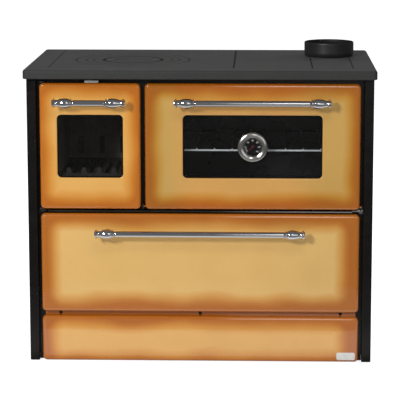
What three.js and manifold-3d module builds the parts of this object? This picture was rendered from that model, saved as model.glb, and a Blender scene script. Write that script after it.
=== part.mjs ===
// Freestanding wood cookstove: a firebox with a glazed door on the left, a glazed oven beside it, a wide
// wood drawer below, a cast hob with lift-out rings on top and a round flue collar at the right rear.
// Millimetres. X runs to the right seen from the front, Y from the front to the back, Z up from the floor.

import * as THREE from 'three';
import { mergeVertices } from 'three/addons/utils/BufferGeometryUtils.js';
import Module from 'manifold-3d';

const wasm = await Module();
wasm.setup();

// Driving dimensions of the whole stove

const clearance = 0.3;
const overrun = 5;
const sheet = 2;

const hob = {
  width: 996,
  depth: 560,
  top: 850,
  rimHeight: 28,
  overhangSide: 7,
  overhangFront: 25,
  overhangBack: 12,
  edgeRound: 9,
  underRound: 3,
  cornerRadius: 12,
  plate: 8,
  ledgeWidth: 8,
  ledgeDrop: 6,
  ledgeDepth: 8,
  seam: 1,
};
const cookingPlate = {
  fromLeft: 68,
  width: 525,
  fromFront: 50,
  depth: 465,
  thickness: 12,
  cornerRadius: 6,
};
const rings = {
  fromPlateLeft: 226,
  fromPlateFront: 212,
  outerRadius: 167,
  middleRadius: 137,
  innerRadius: 116,
  discRadius: 86,
  ledge: 8,
  sides: 30,
};
const disc = {
  recessRadius: 55,
  recessDepth: 1.5,
  notchWidth: 14,
  notchLength: 22,
};
const collar = {
  fromRight: 123,
  fromBack: 175,
  radius: 73.5,
  height: 43,
  wall: 4,
  rimRound: 3,
  rimDrop: 1,
  footHeight: 12,
  footDrop: 3.5,
  footBulge: 1,
  spigotRadius: 68.5,
  spigotDepth: 12,
  sides: 30,
};
const coverPlate = {
  width: 115,
  fromFront: 48,
  cornerRadius: 4,
};

const column = {
  face: 27,
  setback: 5,
  returnDepth: 22,
  backLip: 15,
};
const floorGap = 2;
const gaps = {
  column: 9.5,
  mullion: 12,
  plinth: 12,
  crossBar: 13,
  underHob: 14,
};
const plinthHeight = 133;
const drawerHeight = 287;
const fireDoorWidth = 286.5;

const panel = {
  depth: 20,
  edgeRound: 6,
  cornerRadius: 12,
  windowFlange: 8,
  windowRound: 4,
  windowRadius: 12,
};
const frameGap = 4;
const frontSheet = 3;

const fireWindow = { side: 50, top: 90, bottom: 91 };
const ovenWindow = { side: 108, top: 90, bottom: 91 };
const glass = { thickness: 4, lap: 10 };

const handle = {
  drop: 51.5,
  standoff: 38,
  rodRadius: 8,
  endRadius: 14.3,
  endLength: 57,
  postRadius: 8.5,
  sides: 14,
};
const handleMargin = { fire: 40, oven: 85, drawer: 156 };

const hinge = {
  inset: 8,
  pinRadius: 3,
  pinLength: 7.5,
  pinReach: 5,
  plate: 3,
  sides: 12,
};

const fireOpening = { left: 18, right: 18, bottom: 12, top: 12 };
const ovenOpening = { left: 72.5, right: 37.5, bottom: 24, top: 18 };
const drawerOpening = { left: 9, right: 9, bottom: 6, top: 5 };
const seal = { width: 8, offset: 2 };

const firebox = { wall: 3, depth: 396, brick: 28, brickTopDrop: 58, grate: 12, ashSpace: 61 };
const oven = { depth: 418, railProjection: 7, railHeight: 4, lowestRail: 72, railPitch: 66 };
const drawer = { depth: 440, height: 200, lift: 13, sideGap: 26 };

// Places worked out from the driving dimensions

const hobX = [-hob.width / 2, hob.width / 2];
const hobY = [-hob.depth / 2, hob.depth / 2];
const hobUnderside = hob.top - hob.rimHeight;
const ledgeUnderside = hob.top - hob.ledgeDrop - hob.ledgeDepth;
const bodyHalf = hobX[1] - hob.overhangSide;
const bodyTop = hob.top - hob.plate - clearance;
const columnInner = bodyHalf - column.face;
const panelHalf = columnInner - gaps.column;
const frontFace = hobY[0] + hob.overhangFront;
const bodyBack = hobY[1] - hob.overhangBack;
const columnFace = frontFace + column.setback;
const panelBack = frontFace + panel.depth;
const frameFront = panelBack + frameGap;
const frameBack = frameFront + frontSheet;
const behindFrame = frameBack + clearance;

const plinthX = [-panelHalf, panelHalf];
const plinthZ = [floorGap, floorGap + plinthHeight];
const drawerX = plinthX;
const drawerBottom = plinthZ[1] + gaps.plinth;
const drawerZ = [drawerBottom, drawerBottom + drawerHeight];
const doorZ = [drawerZ[1] + gaps.crossBar, hobUnderside - gaps.underHob];
const fireDoorX = [-panelHalf, -panelHalf + fireDoorWidth];
const ovenDoorX = [fireDoorX[1] + gaps.mullion, panelHalf];

// Small helpers

function middle([low, high]) {
  return (low + high) / 2;
}

function grown([low, high], amount) {
  return [low - amount, high + amount];
}

function around(centre, size) {
  return [centre - size / 2, centre + size / 2];
}

function signedVolume(position, index) {
  const [a, b, c] = [new THREE.Vector3(), new THREE.Vector3(), new THREE.Vector3()];
  let total = 0;
  for (let i = 0; i < index.count; i += 3) {
    a.fromBufferAttribute(position, index.getX(i));
    b.fromBufferAttribute(position, index.getX(i + 1));
    c.fromBufferAttribute(position, index.getX(i + 2));
    total += a.dot(b.cross(c));
  }
  return total;
}

// A closed geometry as a solid that can be joined and cut, with its faces pointing outwards.
function solid(geometry) {
  const bare = geometry.clone();
  bare.deleteAttribute('normal');
  bare.deleteAttribute('uv');
  const merged = mergeVertices(bare);
  const triVerts = new Uint32Array(merged.index.array);
  if (signedVolume(merged.attributes.position, merged.index) < 0) {
    triVerts.reverse();
  }
  const vertProperties = new Float32Array(merged.attributes.position.array);
  return new wasm.Manifold(new wasm.Mesh({ numProp: 3, vertProperties, triVerts }));
}

function joined(...pieces) {
  return pieces.flat().reduce((whole, piece) => whole.add(piece));
}

function block(x, y, z) {
  const geometry = new THREE.BoxGeometry(x[1] - x[0], y[1] - y[0], z[1] - z[0]);
  geometry.translate(middle(x), middle(y), middle(z));
  return solid(geometry);
}

function outline(points) {
  return new THREE.Shape(points.map(([u, v]) => new THREE.Vector2(u, v)));
}

function roundedOutline(u, v, radius) {
  const shape = new THREE.Shape();
  shape.moveTo(u[0] + radius, v[0]);
  shape.lineTo(u[1] - radius, v[0]);
  shape.absarc(u[1] - radius, v[0] + radius, radius, -Math.PI / 2, 0);
  shape.lineTo(u[1], v[1] - radius);
  shape.absarc(u[1] - radius, v[1] - radius, radius, 0, Math.PI / 2);
  shape.lineTo(u[0] + radius, v[1]);
  shape.absarc(u[0] + radius, v[1] - radius, radius, Math.PI / 2, Math.PI);
  shape.lineTo(u[0], v[0] + radius);
  shape.absarc(u[0] + radius, v[0] + radius, radius, Math.PI, Math.PI * 1.5);
  return shape;
}

// The outline of a bent sheet: a path and the same path moved sideways by the sheet's thickness, mitred.
function sheetOutline(path, thickness) {
  const points = path.map(([u, v]) => new THREE.Vector2(u, v));
  const normals = points.slice(1).map((point, i) => {
    const run = point.clone().sub(points[i]).normalize();
    return new THREE.Vector2(-run.y, run.x);
  });
  const moved = points.map((point, i) => {
    const before = normals[Math.max(i - 1, 0)];
    const after = normals[Math.min(i, normals.length - 1)];
    const mitre = before.clone().add(after).normalize();
    return point.clone().addScaledVector(mitre, thickness / mitre.dot(after));
  });
  return new THREE.Shape([...points, ...moved.reverse()]);
}

// Which way an outline's two directions and its length point, for an outline drawn along each axis.
const turns = {
  x: new THREE.Matrix4().makeBasis(
    new THREE.Vector3(0, 1, 0), new THREE.Vector3(0, 0, 1), new THREE.Vector3(1, 0, 0)),
  y: new THREE.Matrix4().makeBasis(
    new THREE.Vector3(1, 0, 0), new THREE.Vector3(0, 0, 1), new THREE.Vector3(0, 1, 0)),
  z: new THREE.Matrix4(),
};

// An outline carried along an axis between two places. Rounded ends stay inside the outline.
function prism(axis, shape, ends, round = 0, steps = 2, roundSteps = 3) {
  const geometry = new THREE.ExtrudeGeometry(shape, {
    depth: ends[1] - ends[0] - 2 * round,
    curveSegments: steps,
    bevelEnabled: round > 0,
    bevelThickness: round,
    bevelSize: round,
    bevelOffset: -round,
    bevelSegments: roundSteps,
  });
  geometry.translate(0, 0, ends[0] + round);
  geometry.applyMatrix4(turns[axis]);
  return solid(geometry);
}

// Turned pieces are drawn as radius and place along the axis.
function turned(axis, profile, centre, sides) {
  const points = profile.map(([radius, along]) => new THREE.Vector2(radius, along));
  const geometry = new THREE.LatheGeometry(points, sides);
  if (axis === 'z') {
    geometry.rotateX(Math.PI / 2);
  }
  if (axis === 'x') {
    geometry.rotateZ(-Math.PI / 2);
  }
  geometry.translate(centre.x ?? 0, centre.y ?? 0, centre.z ?? 0);
  return solid(geometry);
}

function cylinder(axis, radius, ends, centre, sides) {
  const profile = [[0, ends[0]], [radius, ends[0]], [radius, ends[1]], [0, ends[1]]];
  return turned(axis, profile, centre, sides);
}

const finishes = {
  enamel: { color: '#cf9a4c', roughness: 0.22, metalness: 0 },
  blackEnamel: { color: '#181716', roughness: 0.35, metalness: 0 },
  castIron: { color: '#3c3c3d', roughness: 0.6, metalness: 0.4 },
  chrome: { color: '#d8dade', roughness: 0.12, metalness: 1 },
  steel: { color: '#8d9094', roughness: 0.45, metalness: 0.9 },
  darkSteel: { color: '#2b2b2d', roughness: 0.55, metalness: 0.6 },
  glass: { color: '#20262a', roughness: 0.05, metalness: 0, transparent: true, opacity: 0.35 },
  brick: { color: '#9c8c78', roughness: 0.95, metalness: 0 },
  rope: { color: '#3a3733', roughness: 1, metalness: 0 },
  dial: { color: '#121212', roughness: 0.4, metalness: 0 },
  needle: { color: '#b8402c', roughness: 0.4, metalness: 0 },
};

function piece(name, body, finish) {
  const mesh = body.getMesh();
  const geometry = new THREE.BufferGeometry();
  geometry.setAttribute('position', new THREE.BufferAttribute(mesh.vertProperties, mesh.numProp));
  geometry.setIndex(new THREE.BufferAttribute(mesh.triVerts, 1));
  geometry.computeVertexNormals();
  const result = new THREE.Mesh(geometry, new THREE.MeshStandardMaterial(finishes[finish]));
  result.name = name;
  return result;
}

// Hob: a cast frame with a turned-down rim, and the plates that lie in its ledges

const plateOpening = {
  x: [hobX[0] + cookingPlate.fromLeft, hobX[0] + cookingPlate.fromLeft + cookingPlate.width],
  y: [hobY[0] + cookingPlate.fromFront, hobY[0] + cookingPlate.fromFront + cookingPlate.depth],
};
const ringCentre = {
  x: plateOpening.x[0] + rings.fromPlateLeft,
  y: plateOpening.y[0] + rings.fromPlateFront,
};
const collarCentre = { x: hobX[1] - collar.fromRight, y: hobY[1] - collar.fromBack };
const coverOpening = {
  x: around(collarCentre.x, coverPlate.width),
  y: [hobY[0] + coverPlate.fromFront, collarCentre.y],
};
const ledgeTop = hob.top - hob.ledgeDrop;
const throughHob = [hobUnderside - overrun, hob.top + overrun];
const collarLand = collar.radius + hob.seam;

function openingOutline(opening, inset, radius) {
  return roundedOutline(grown(opening.x, -inset), grown(opening.y, -inset), radius);
}

function coverOutline(inset, ends) {
  const plan = prism('z', openingOutline(coverOpening, inset, coverPlate.cornerRadius), ends);
  const land = cylinder('z', collarLand + inset, grown(ends, overrun), collarCentre, collar.sides);
  return plan.subtract(land);
}

function hobFrame() {
  const tallTop = [hobUnderside - hob.rimHeight, hob.top];
  const tallBottom = [hobUnderside, hob.top + hob.rimHeight];
  const plan = roundedOutline(hobX, hobY, hob.cornerRadius);
  const roundTop = prism('z', plan, tallTop, hob.edgeRound);
  const roundBottom = prism('z', plan, tallBottom, hob.underRound);
  const slab = roundTop.intersect(roundBottom);
  const rim = hob.overhangSide - clearance;
  const plateCorner = cookingPlate.cornerRadius;
  const hollowZ = [hobUnderside - overrun, hob.top - hob.plate];
  const hollow = block(grown(hobX, -rim), grown(hobY, -rim), hollowZ);
  const ledgeZ = [ledgeUnderside, ledgeTop];
  const plateLedge = block(
    grown(plateOpening.x, hob.ledgeWidth), grown(plateOpening.y, hob.ledgeWidth), ledgeZ);
  const coverLedge = block(
    grown(coverOpening.x, hob.ledgeWidth), grown(coverOpening.y, hob.ledgeWidth), ledgeZ);
  const collarBoss = cylinder('z', collarLand + hob.ledgeWidth, ledgeZ, collarCentre, collar.sides);
  const bore = cylinder('z', collar.spigotRadius + clearance, throughHob, collarCentre, collar.sides);
  const aboveLedge = [ledgeTop, hob.top + overrun];
  return slab
    .subtract(hollow)
    .add(plateLedge)
    .add(coverLedge)
    .add(collarBoss)
    .subtract(prism('z', openingOutline(plateOpening, 0, plateCorner), aboveLedge))
    .subtract(prism('z', openingOutline(plateOpening, hob.ledgeWidth, plateCorner), throughHob))
    .subtract(coverOutline(0, aboveLedge))
    .subtract(coverOutline(hob.ledgeWidth, throughHob))
    .subtract(bore);
}

function cookingPlateBody() {
  const radius = cookingPlate.cornerRadius;
  const underside = hob.top - cookingPlate.thickness;
  const lip = prism('z', openingOutline(plateOpening, hob.seam, radius), [ledgeTop + clearance, hob.top]);
  const core = prism(
    'z', openingOutline(plateOpening, hob.ledgeWidth + hob.seam, radius), [underside, hob.top]);
  const wide = cylinder(
    'z', rings.outerRadius, [ledgeTop, hob.top + overrun], ringCentre, rings.sides);
  const narrow = cylinder('z', rings.outerRadius - rings.ledge, throughHob, ringCentre, rings.sides);
  return lip.add(core).subtract(wide).subtract(narrow);
}

// A ring lies with its upper flange on the ledge around it, and carries the next one on its own ledge.
function hobRing(outer, inner) {
  const underside = hob.top - cookingPlate.thickness;
  const flange = outer - hob.seam;
  const lower = outer - rings.ledge - hob.seam;
  const profile = [
    [inner - rings.ledge, underside],
    [lower, underside],
    [lower, ledgeTop + clearance],
    [flange, ledgeTop + clearance],
    [flange, hob.top],
    [inner, hob.top],
    [inner, ledgeTop],
    [inner - rings.ledge, ledgeTop],
    [inner - rings.ledge, underside],
  ];
  return turned('z', profile, ringCentre, rings.sides);
}

function centreDisc() {
  const underside = hob.top - cookingPlate.thickness;
  const flange = rings.discRadius - hob.seam;
  const lower = rings.discRadius - rings.ledge - hob.seam;
  const profile = [
    [0, underside],
    [lower, underside],
    [lower, ledgeTop + clearance],
    [flange, ledgeTop + clearance],
    [flange, hob.top],
    [disc.recessRadius, hob.top],
    [disc.recessRadius, hob.top - disc.recessDepth],
    [0, hob.top - disc.recessDepth],
  ];
  const notchStart = ringCentre.y - flange - overrun;
  const notchEnd = ringCentre.y - flange + disc.notchLength;
  const notch = block(
    around(ringCentre.x, disc.notchWidth), [notchStart, notchEnd], [ledgeTop, hob.top + overrun]);
  return turned('z', profile, ringCentre, rings.sides).subtract(notch);
}

function flueCover() {
  const underside = hob.top - cookingPlate.thickness;
  const lip = coverOutline(hob.seam, [ledgeTop + clearance, hob.top]);
  const core = coverOutline(hob.ledgeWidth + hob.seam, [underside, hob.top]);
  return lip.add(core);
}

function flueCollar() {
  const foot = hob.top + clearance;
  const rim = foot + collar.height;
  const bore = collar.spigotRadius - collar.wall;
  const profile = [
    [bore, hob.top - collar.spigotDepth],
    [collar.spigotRadius, hob.top - collar.spigotDepth],
    [collar.spigotRadius, foot],
    [collar.radius - collar.footDrop, foot],
    [collar.radius - collar.footBulge, foot + collar.footHeight / 2],
    [collar.radius, foot + collar.footHeight],
    [collar.radius, rim - collar.rimRound],
    [collar.radius - collar.rimDrop, rim],
    [collar.radius - collar.wall, rim],
    [bore, foot],
    [bore, hob.top - collar.spigotDepth],
  ];
  return turned('z', profile, collarCentre, collar.sides);
}

// Sheet-metal cabinet

function sidePanel(side) {
  const outer = bodyHalf;
  const inner = bodyHalf - sheet;
  const returnOuter = columnInner + sheet;
  const returnEnd = columnFace + column.returnDepth;
  const points = [
    [outer, bodyBack],
    [outer, columnFace],
    [columnInner, columnFace],
    [columnInner, returnEnd],
    [returnOuter, returnEnd],
    [returnOuter, columnFace + sheet],
    [inner, columnFace + sheet],
    [inner, bodyBack - sheet],
    [outer - column.backLip, bodyBack - sheet],
    [outer - column.backLip, bodyBack],
  ];
  const mirrored = points.map(([x, y]) => [side * x, y]);
  return prism('z', outline(mirrored), [floorGap, bodyTop]);
}

const insideSide = bodyHalf - sheet - clearance;
const backSheet = { ribHeight: 6, ribWidth: 40, ribSlope: 8, ribs: 3 };
const backSlots = { width: 120, height: 8, fromBottom: 60, pitch: 24, rows: 2 };
const backSheetOuter = bodyBack - sheet - clearance;
const backSheetInner = backSheetOuter - sheet - backSheet.ribHeight;

// The rear sheet is stiffened by pressed ribs, with rows of air slots low down between them.
function backPanel() {
  const flat = backSheetOuter - sheet;
  const path = [[-insideSide, flat]];
  const pitch = (2 * insideSide) / (backSheet.ribs + 1);
  for (let i = 1; i <= backSheet.ribs; i += 1) {
    const centre = -insideSide + i * pitch;
    const half = backSheet.ribWidth / 2;
    path.push([centre - half - backSheet.ribSlope, flat], [centre - half, backSheetInner]);
    path.push([centre + half, backSheetInner], [centre + half + backSheet.ribSlope, flat]);
  }
  path.push([insideSide, flat]);
  let body = prism('z', sheetOutline(path, sheet), [floorGap, bodyTop]);
  for (let row = 0; row < backSlots.rows; row += 1) {
    const low = floorGap + backSlots.fromBottom + row * backSlots.pitch;
    for (let field = 0; field <= backSheet.ribs; field += 1) {
      const centre = -insideSide + (field + 1 / 2) * pitch;
      const through = grown([flat, backSheetOuter], overrun);
      body = body.subtract(block(around(centre, backSlots.width), through, [low, low + backSlots.height]));
    }
  }
  return body;
}

const base = {
  height: 20,
  flange: 24,
  footRadius: 20,
  footPad: 8,
  footStem: 6,
  footInset: 60,
  footSides: 16,
};
const baseY = [behindFrame, backSheetInner - clearance];

function baseTray() {
  const upturn = base.height + base.flange;
  const path = [
    [-insideSide, upturn],
    [-insideSide, base.height],
    [insideSide, base.height],
    [insideSide, upturn],
  ];
  return prism('y', sheetOutline(path, sheet), baseY);
}

function foot(side, end) {
  const centre = {
    x: side * (insideSide - base.footInset),
    y: end < 0 ? baseY[0] + base.footInset : baseY[1] - base.footInset,
  };
  const profile = [
    [0, 0],
    [base.footRadius, 0],
    [base.footRadius, base.footPad],
    [base.footStem, base.footPad],
    [base.footStem, base.height - clearance],
    [0, base.height - clearance],
  ];
  return turned('z', profile, centre, base.footSides);
}

// Pressed front panels: a shell with rounded edges, open at the back

function pressedShell(x, z, back) {
  const y = [frontFace, back + panel.depth];
  const full = prism('y', roundedOutline(x, z, panel.cornerRadius), y, panel.edgeRound);
  const cutBack = block(grown(x, overrun), [back, back + panel.depth + overrun], grown(z, overrun));
  const innerRound = Math.max(panel.edgeRound - sheet, clearance);
  const inner = prism(
    'y', roundedOutline(grown(x, -sheet), grown(z, -sheet), panel.cornerRadius - sheet),
    [frontFace + sheet, back + panel.depth], innerRound);
  return { outer: full.subtract(cutBack), inner };
}

// The plinth's top flange ends in a low upstand, by which it is screwed to the front frame.
const upstand = { height: 10, endInset: 8 };

function plinthPanel() {
  const { outer, inner } = pressedShell(plinthX, plinthZ, frameFront - clearance);
  const rise = block(
    grown(plinthX, -upstand.endInset),
    [frameFront - clearance - sheet, frameFront - clearance],
    [plinthZ[1] - sheet, plinthZ[1] + upstand.height]);
  return outer.subtract(inner).add(rise);
}

function windowOf(x, z, margins) {
  return {
    x: [x[0] + margins.side, x[1] - margins.side],
    z: [z[0] + margins.bottom, z[1] - margins.top],
  };
}

// A door panel keeps a wall round its window that runs back to the glass.
function doorPanel(x, z, margins) {
  const { outer, inner } = pressedShell(x, z, panelBack);
  const opening = windowOf(x, z, margins);
  const wallY = [frontFace, frontFace + panel.windowFlange];
  const slope = panel.windowRound;
  const wall = prism('y', roundedOutline(
    grown(opening.x, sheet), grown(opening.z, sheet), panel.windowRadius + sheet), wallY);
  const shoulder = prism('y', roundedOutline(
    grown(opening.x, sheet + slope), grown(opening.z, sheet + slope), panel.windowRadius + sheet + slope),
  [frontFace, frontFace + sheet + slope], 0);
  const hole = prism('y', roundedOutline(opening.x, opening.z, panel.windowRadius), grown(wallY, overrun));
  const flare = prism('y', roundedOutline(
    grown(opening.x, slope), grown(opening.z, slope), panel.windowRadius + slope),
  [frontFace - slope - overrun, frontFace + slope], slope, 2, 1);
  return joined(outer.subtract(inner), wall, shoulder).subtract(hole).subtract(flare);
}

const glassY = [
  frontFace + panel.windowFlange + clearance,
  frontFace + panel.windowFlange + clearance + glass.thickness,
];
const innerFrameY = [panelBack - frontSheet, panelBack];

function doorGlass(x, z, margins) {
  const opening = windowOf(x, z, margins);
  return prism('y', roundedOutline(
    grown(opening.x, glass.lap), grown(opening.z, glass.lap), panel.windowRadius), glassY);
}

// The inner frame closes the back of the panel and clamps the glass with a raised border.
function doorInnerFrame(x, z, margins) {
  const inset = sheet + clearance;
  const opening = windowOf(x, z, margins);
  const plate = prism('y', roundedOutline(
    grown(x, -inset), grown(z, -inset), panel.cornerRadius - sheet), innerFrameY);
  const border = prism('y', roundedOutline(
    grown(opening.x, glass.lap), grown(opening.z, glass.lap), panel.windowRadius),
  [glassY[1] + clearance, innerFrameY[1]]);
  const hole = prism('y', roundedOutline(opening.x, opening.z, panel.windowRadius),
    grown([glassY[1], innerFrameY[1]], overrun));
  return plate.add(border).subtract(hole);
}

function sealRing(opening) {
  const y = [panelBack + clearance, frameFront - clearance];
  const outer = seal.offset + seal.width;
  const band = prism('y', roundedOutline(
    grown(opening.x, outer), grown(opening.z, outer), seal.width), y);
  const middleHole = prism('y', roundedOutline(
    grown(opening.x, seal.offset), grown(opening.z, seal.offset), seal.offset), grown(y, overrun));
  return band.subtract(middleHole);
}

// Front frame: one sheet behind the doors with the mouths of the firebox, the oven and the drawer bay

function mouth(x, z, margins) {
  return {
    x: [x[0] + margins.left, x[1] - margins.right],
    z: [z[0] + margins.bottom, z[1] - margins.top],
  };
}

const fireMouth = mouth(fireDoorX, doorZ, fireOpening);
const ovenMouth = mouth(ovenDoorX, doorZ, ovenOpening);
const drawerMouth = mouth(drawerX, drawerZ, drawerOpening);
const mouthRadius = 6;

const crossBar = { height: 7, depth: 17, endGap: 22, round: 2.5 };
const slider = {
  fromDoorLeft: 129.5,
  width: 39,
  thickness: 3,
  aboveDoor: 1.6,
  forward: 21,
  travel: 18,
  shutterLap: 20,
  shutterUp: 14,
  lipHeight: 8,
  lipRound: 1.2,
};
const sliderX = [fireDoorX[0] + slider.fromDoorLeft, fireDoorX[0] + slider.fromDoorLeft + slider.width];
const sliderZ = [doorZ[1] + slider.aboveDoor, doorZ[1] + slider.aboveDoor + slider.thickness];
const slotGap = 0.6;

function frontFrame() {
  const y = [frameFront, frameBack];
  const through = grown(y, overrun);
  const x = grown([-columnInner, columnInner], -clearance);
  let body = block(x, y, [floorGap, ledgeUnderside - clearance]);
  for (const opening of [fireMouth, ovenMouth, drawerMouth]) {
    body = body.subtract(prism('y', roundedOutline(opening.x, opening.z, mouthRadius), through));
  }
  const barY = [frameFront - crossBar.depth, frameBack];
  const barMiddle = middle([drawerZ[1], doorZ[0]]);
  const barX = [-panelHalf + crossBar.endGap, panelHalf - crossBar.endGap];
  const bar = prism('x', roundedOutline(barY, around(barMiddle, crossBar.height), crossBar.round), barX);
  const slot = block(grown(sliderX, slider.travel + slotGap), through, grown(sliderZ, slotGap));
  return body.add(bar).subtract(slot);
}

function airSlider() {
  const tab = block(sliderX, [frameFront - slider.forward, behindFrame + sheet], sliderZ);
  const lipY = [frameFront - slider.forward - slider.thickness, frameFront - slider.forward];
  const lipZ = [sliderZ[0], sliderZ[0] + slider.lipHeight];
  const lip = prism('x', roundedOutline(lipY, lipZ, slider.lipRound), sliderX);
  const shutter = block(
    grown(sliderX, slider.shutterLap), [behindFrame, behindFrame + sheet],
    [sliderZ[0] - slider.thickness, sliderZ[1] + slider.shutterUp]);
  return joined(tab, block(sliderX, [lipY[0] + slider.lipRound, frameFront], sliderZ), lip, shutter);
}

// Hinges: the fire door turns on pins that stand on its brackets, the oven door on pins of its own

const pinY = frontFace + hinge.inset;
const fireHinge = { x: fireDoorX[0] + hinge.inset, y: pinY };
const ovenHinge = { y: pinY, z: doorZ[0] + hinge.inset };
const holeRadius = hinge.pinRadius + clearance;
const bracket = { reach: 5, legHeight: 9, standoff: 2.5 };

// The fire door's top and bottom flanges are drilled for the pins.
function fireDoorPanel() {
  const body = doorPanel(fireDoorX, doorZ, fireWindow);
  const upper = [doorZ[1] - hinge.pinReach, doorZ[1] + overrun];
  const lower = [doorZ[0] - overrun, doorZ[0] + hinge.pinReach];
  return body
    .subtract(cylinder('z', holeRadius, upper, fireHinge, hinge.sides))
    .subtract(cylinder('z', holeRadius, lower, fireHinge, hinge.sides));
}

function ovenDoorPanel() {
  const body = doorPanel(ovenDoorX, doorZ, ovenWindow);
  const left = [ovenDoorX[0] - hinge.pinLength, ovenDoorX[0] + sheet];
  const right = [ovenDoorX[1] - sheet, ovenDoorX[1] + hinge.pinLength];
  return joined(
    body,
    cylinder('x', hinge.pinRadius, left, ovenHinge, hinge.sides),
    cylinder('x', hinge.pinRadius, right, ovenHinge, hinge.sides));
}

// A flat bracket with a leg against the front frame, and a pin that ends inside the door.
function fireBracket(plateZ, legZ, pinEnd) {
  const half = hinge.pinRadius + bracket.reach;
  const x = around(fireHinge.x, 2 * half);
  const y = [fireHinge.y - half, frameFront - clearance];
  const plate = prism('z', roundedOutline(x, y, bracket.reach), plateZ);
  const leg = block(x, [y[1] - hinge.plate, y[1]], legZ);
  const squareEnd = block(x, [fireHinge.y, y[1]], plateZ);
  const pinStart = middle(plateZ);
  const pinZ = [Math.min(pinStart, pinEnd), Math.max(pinStart, pinEnd)];
  const pin = cylinder('z', hinge.pinRadius, pinZ, fireHinge, hinge.sides);
  return joined(plate, squareEnd, leg, pin);
}

function fireBracketTop() {
  const low = doorZ[1] + bracket.standoff;
  return fireBracket([low, low + hinge.plate], [low, low + bracket.legHeight], doorZ[1] - hinge.pinReach);
}

function fireBracketBottom() {
  const high = doorZ[0] - bracket.standoff;
  const legZ = [high - bracket.legHeight, high];
  return fireBracket([high - hinge.plate, high], legZ, doorZ[0] + hinge.pinReach);
}

function ovenBracket(x) {
  const half = hinge.pinRadius + bracket.reach;
  const y = [ovenHinge.y - half, frameFront - clearance];
  const z = around(ovenHinge.z, 2 * half);
  const plate = prism('x', roundedOutline(y, z, bracket.reach), x);
  const squareEnd = block(x, [ovenHinge.y, y[1]], z);
  const eye = cylinder('x', holeRadius, grown(x, overrun), ovenHinge, hinge.sides);
  return joined(plate, squareEnd).subtract(eye);
}

const ovenBracketLeftX = around(ovenDoorX[0] - gaps.mullion / 2, hinge.plate);
const ovenBracketRightX = around(ovenDoorX[1] + gaps.column / 2, hinge.plate);

const catchPlate = { height: 56, thickness: 2.4, edge: 1.2 };

function fireCatch() {
  const x = [fireMouth.x[1] + seal.offset + seal.width + catchPlate.edge, fireDoorX[1] - catchPlate.edge];
  const y = [frameFront - clearance - catchPlate.thickness, frameFront - clearance];
  return block(x, y, around(middle(doorZ), catchPlate.height));
}

// Handles: a round bar between two turned ends, each on a post from the panel

const handleAxisY = frontFace - handle.standoff;
const handleEndShares = [
  [0, 0], [0.74, 0], [0.96, 0.07], [0.96, 0.12], [0.68, 0.17], [0.68, 0.28], [0.9, 0.39], [1, 0.6],
  [0.96, 0.77], [0.7, 0.89], [0.95, 0.92], [0.95, 0.96], [0.64, 1], [0, 1],
];
const postShare = 0.62;

function handleParts(prefix, x, margin, top) {
  const z = top - handle.drop;
  const centre = middle(x);
  const reach = (x[1] - x[0]) / 2 - margin;
  const rodHalf = reach - handle.endLength - clearance;
  const place = { y: handleAxisY, z };
  const rod = cylinder('x', handle.rodRadius, [centre - rodHalf, centre + rodHalf], place, handle.sides);
  const ends = [-1, 1].map((side) => {
    const tip = centre + side * reach;
    const profile = handleEndShares.map(([radiusShare, alongShare]) => [
      radiusShare * handle.endRadius, tip - side * alongShare * handle.endLength]);
    const body = turned('x', profile, place, handle.sides);
    const postX = tip - side * postShare * handle.endLength;
    const post = cylinder(
      'y', handle.postRadius, [handleAxisY, frontFace - clearance], { x: postX, z }, handle.sides);
    return body.add(post);
  });
  return [
    piece(`${prefix}_handle_rod`, rod, 'chrome'),
    piece(`${prefix}_handle_end_left`, ends[0], 'chrome'),
    piece(`${prefix}_handle_end_right`, ends[1], 'chrome'),
  ];
}

// Thermometer in the middle of the oven glass

const gauge = {
  radius: 43.5,
  dialRadius: 26,
  stemRadius: 8,
  nutRadius: 14,
  nutDepth: 5,
  stemDepth: 14,
  floor: 3,
  bezelForward: 12,
  dialThickness: 0.8,
  lensThickness: 1.5,
  lensForward: 8.5,
  rebate: 1.5,
  needleLength: 20,
  needleTail: 6,
  needleWidth: 2.4,
  needleThickness: 0.8,
  hubRadius: 3,
  sides: 22,
};
// The bezel's swell: the share of its width from the lens outwards, and the share of its forward reach.
const bezelShares = [[0, 0.8], [0.2, 0.97], [0.45, 1], [0.7, 0.87], [0.9, 0.58], [1, 0.24]];
const ovenGlassWindow = windowOf(ovenDoorX, doorZ, ovenWindow);
const gaugeCentre = { x: middle(ovenGlassWindow.x), z: middle(ovenGlassWindow.z) };
const gaugeBack = glassY[0] - clearance;
const dialBack = gaugeBack - gauge.floor - clearance;
const dialFront = dialBack - gauge.dialThickness;

function ovenGlass() {
  const holeRadius = gauge.stemRadius + clearance;
  const hole = cylinder('y', holeRadius, grown(glassY, overrun), gaugeCentre, gauge.sides);
  return doorGlass(ovenDoorX, doorZ, ovenWindow).subtract(hole);
}

function gaugeCase() {
  const lensSeat = gaugeBack - gauge.lensForward + gauge.lensThickness;
  const nutFront = glassY[1] + clearance;
  const rebate = gauge.dialRadius + gauge.rebate;
  const swell = bezelShares.map(([outwards, forward]) => [
    rebate + outwards * (gauge.radius - rebate), gaugeBack - forward * gauge.bezelForward]);
  const profile = [
    [0, gaugeBack - gauge.floor],
    [gauge.dialRadius, gaugeBack - gauge.floor],
    [gauge.dialRadius, lensSeat],
    [rebate, lensSeat],
    ...swell,
    [gauge.radius, gaugeBack],
    [gauge.stemRadius, gaugeBack],
    [gauge.stemRadius, nutFront],
    [gauge.nutRadius, nutFront],
    [gauge.nutRadius, nutFront + gauge.nutDepth],
    [gauge.stemRadius, nutFront + gauge.nutDepth],
    [gauge.stemRadius, nutFront + gauge.stemDepth],
    [0, nutFront + gauge.stemDepth],
  ];
  return turned('y', profile, gaugeCentre, gauge.sides);
}

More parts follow.
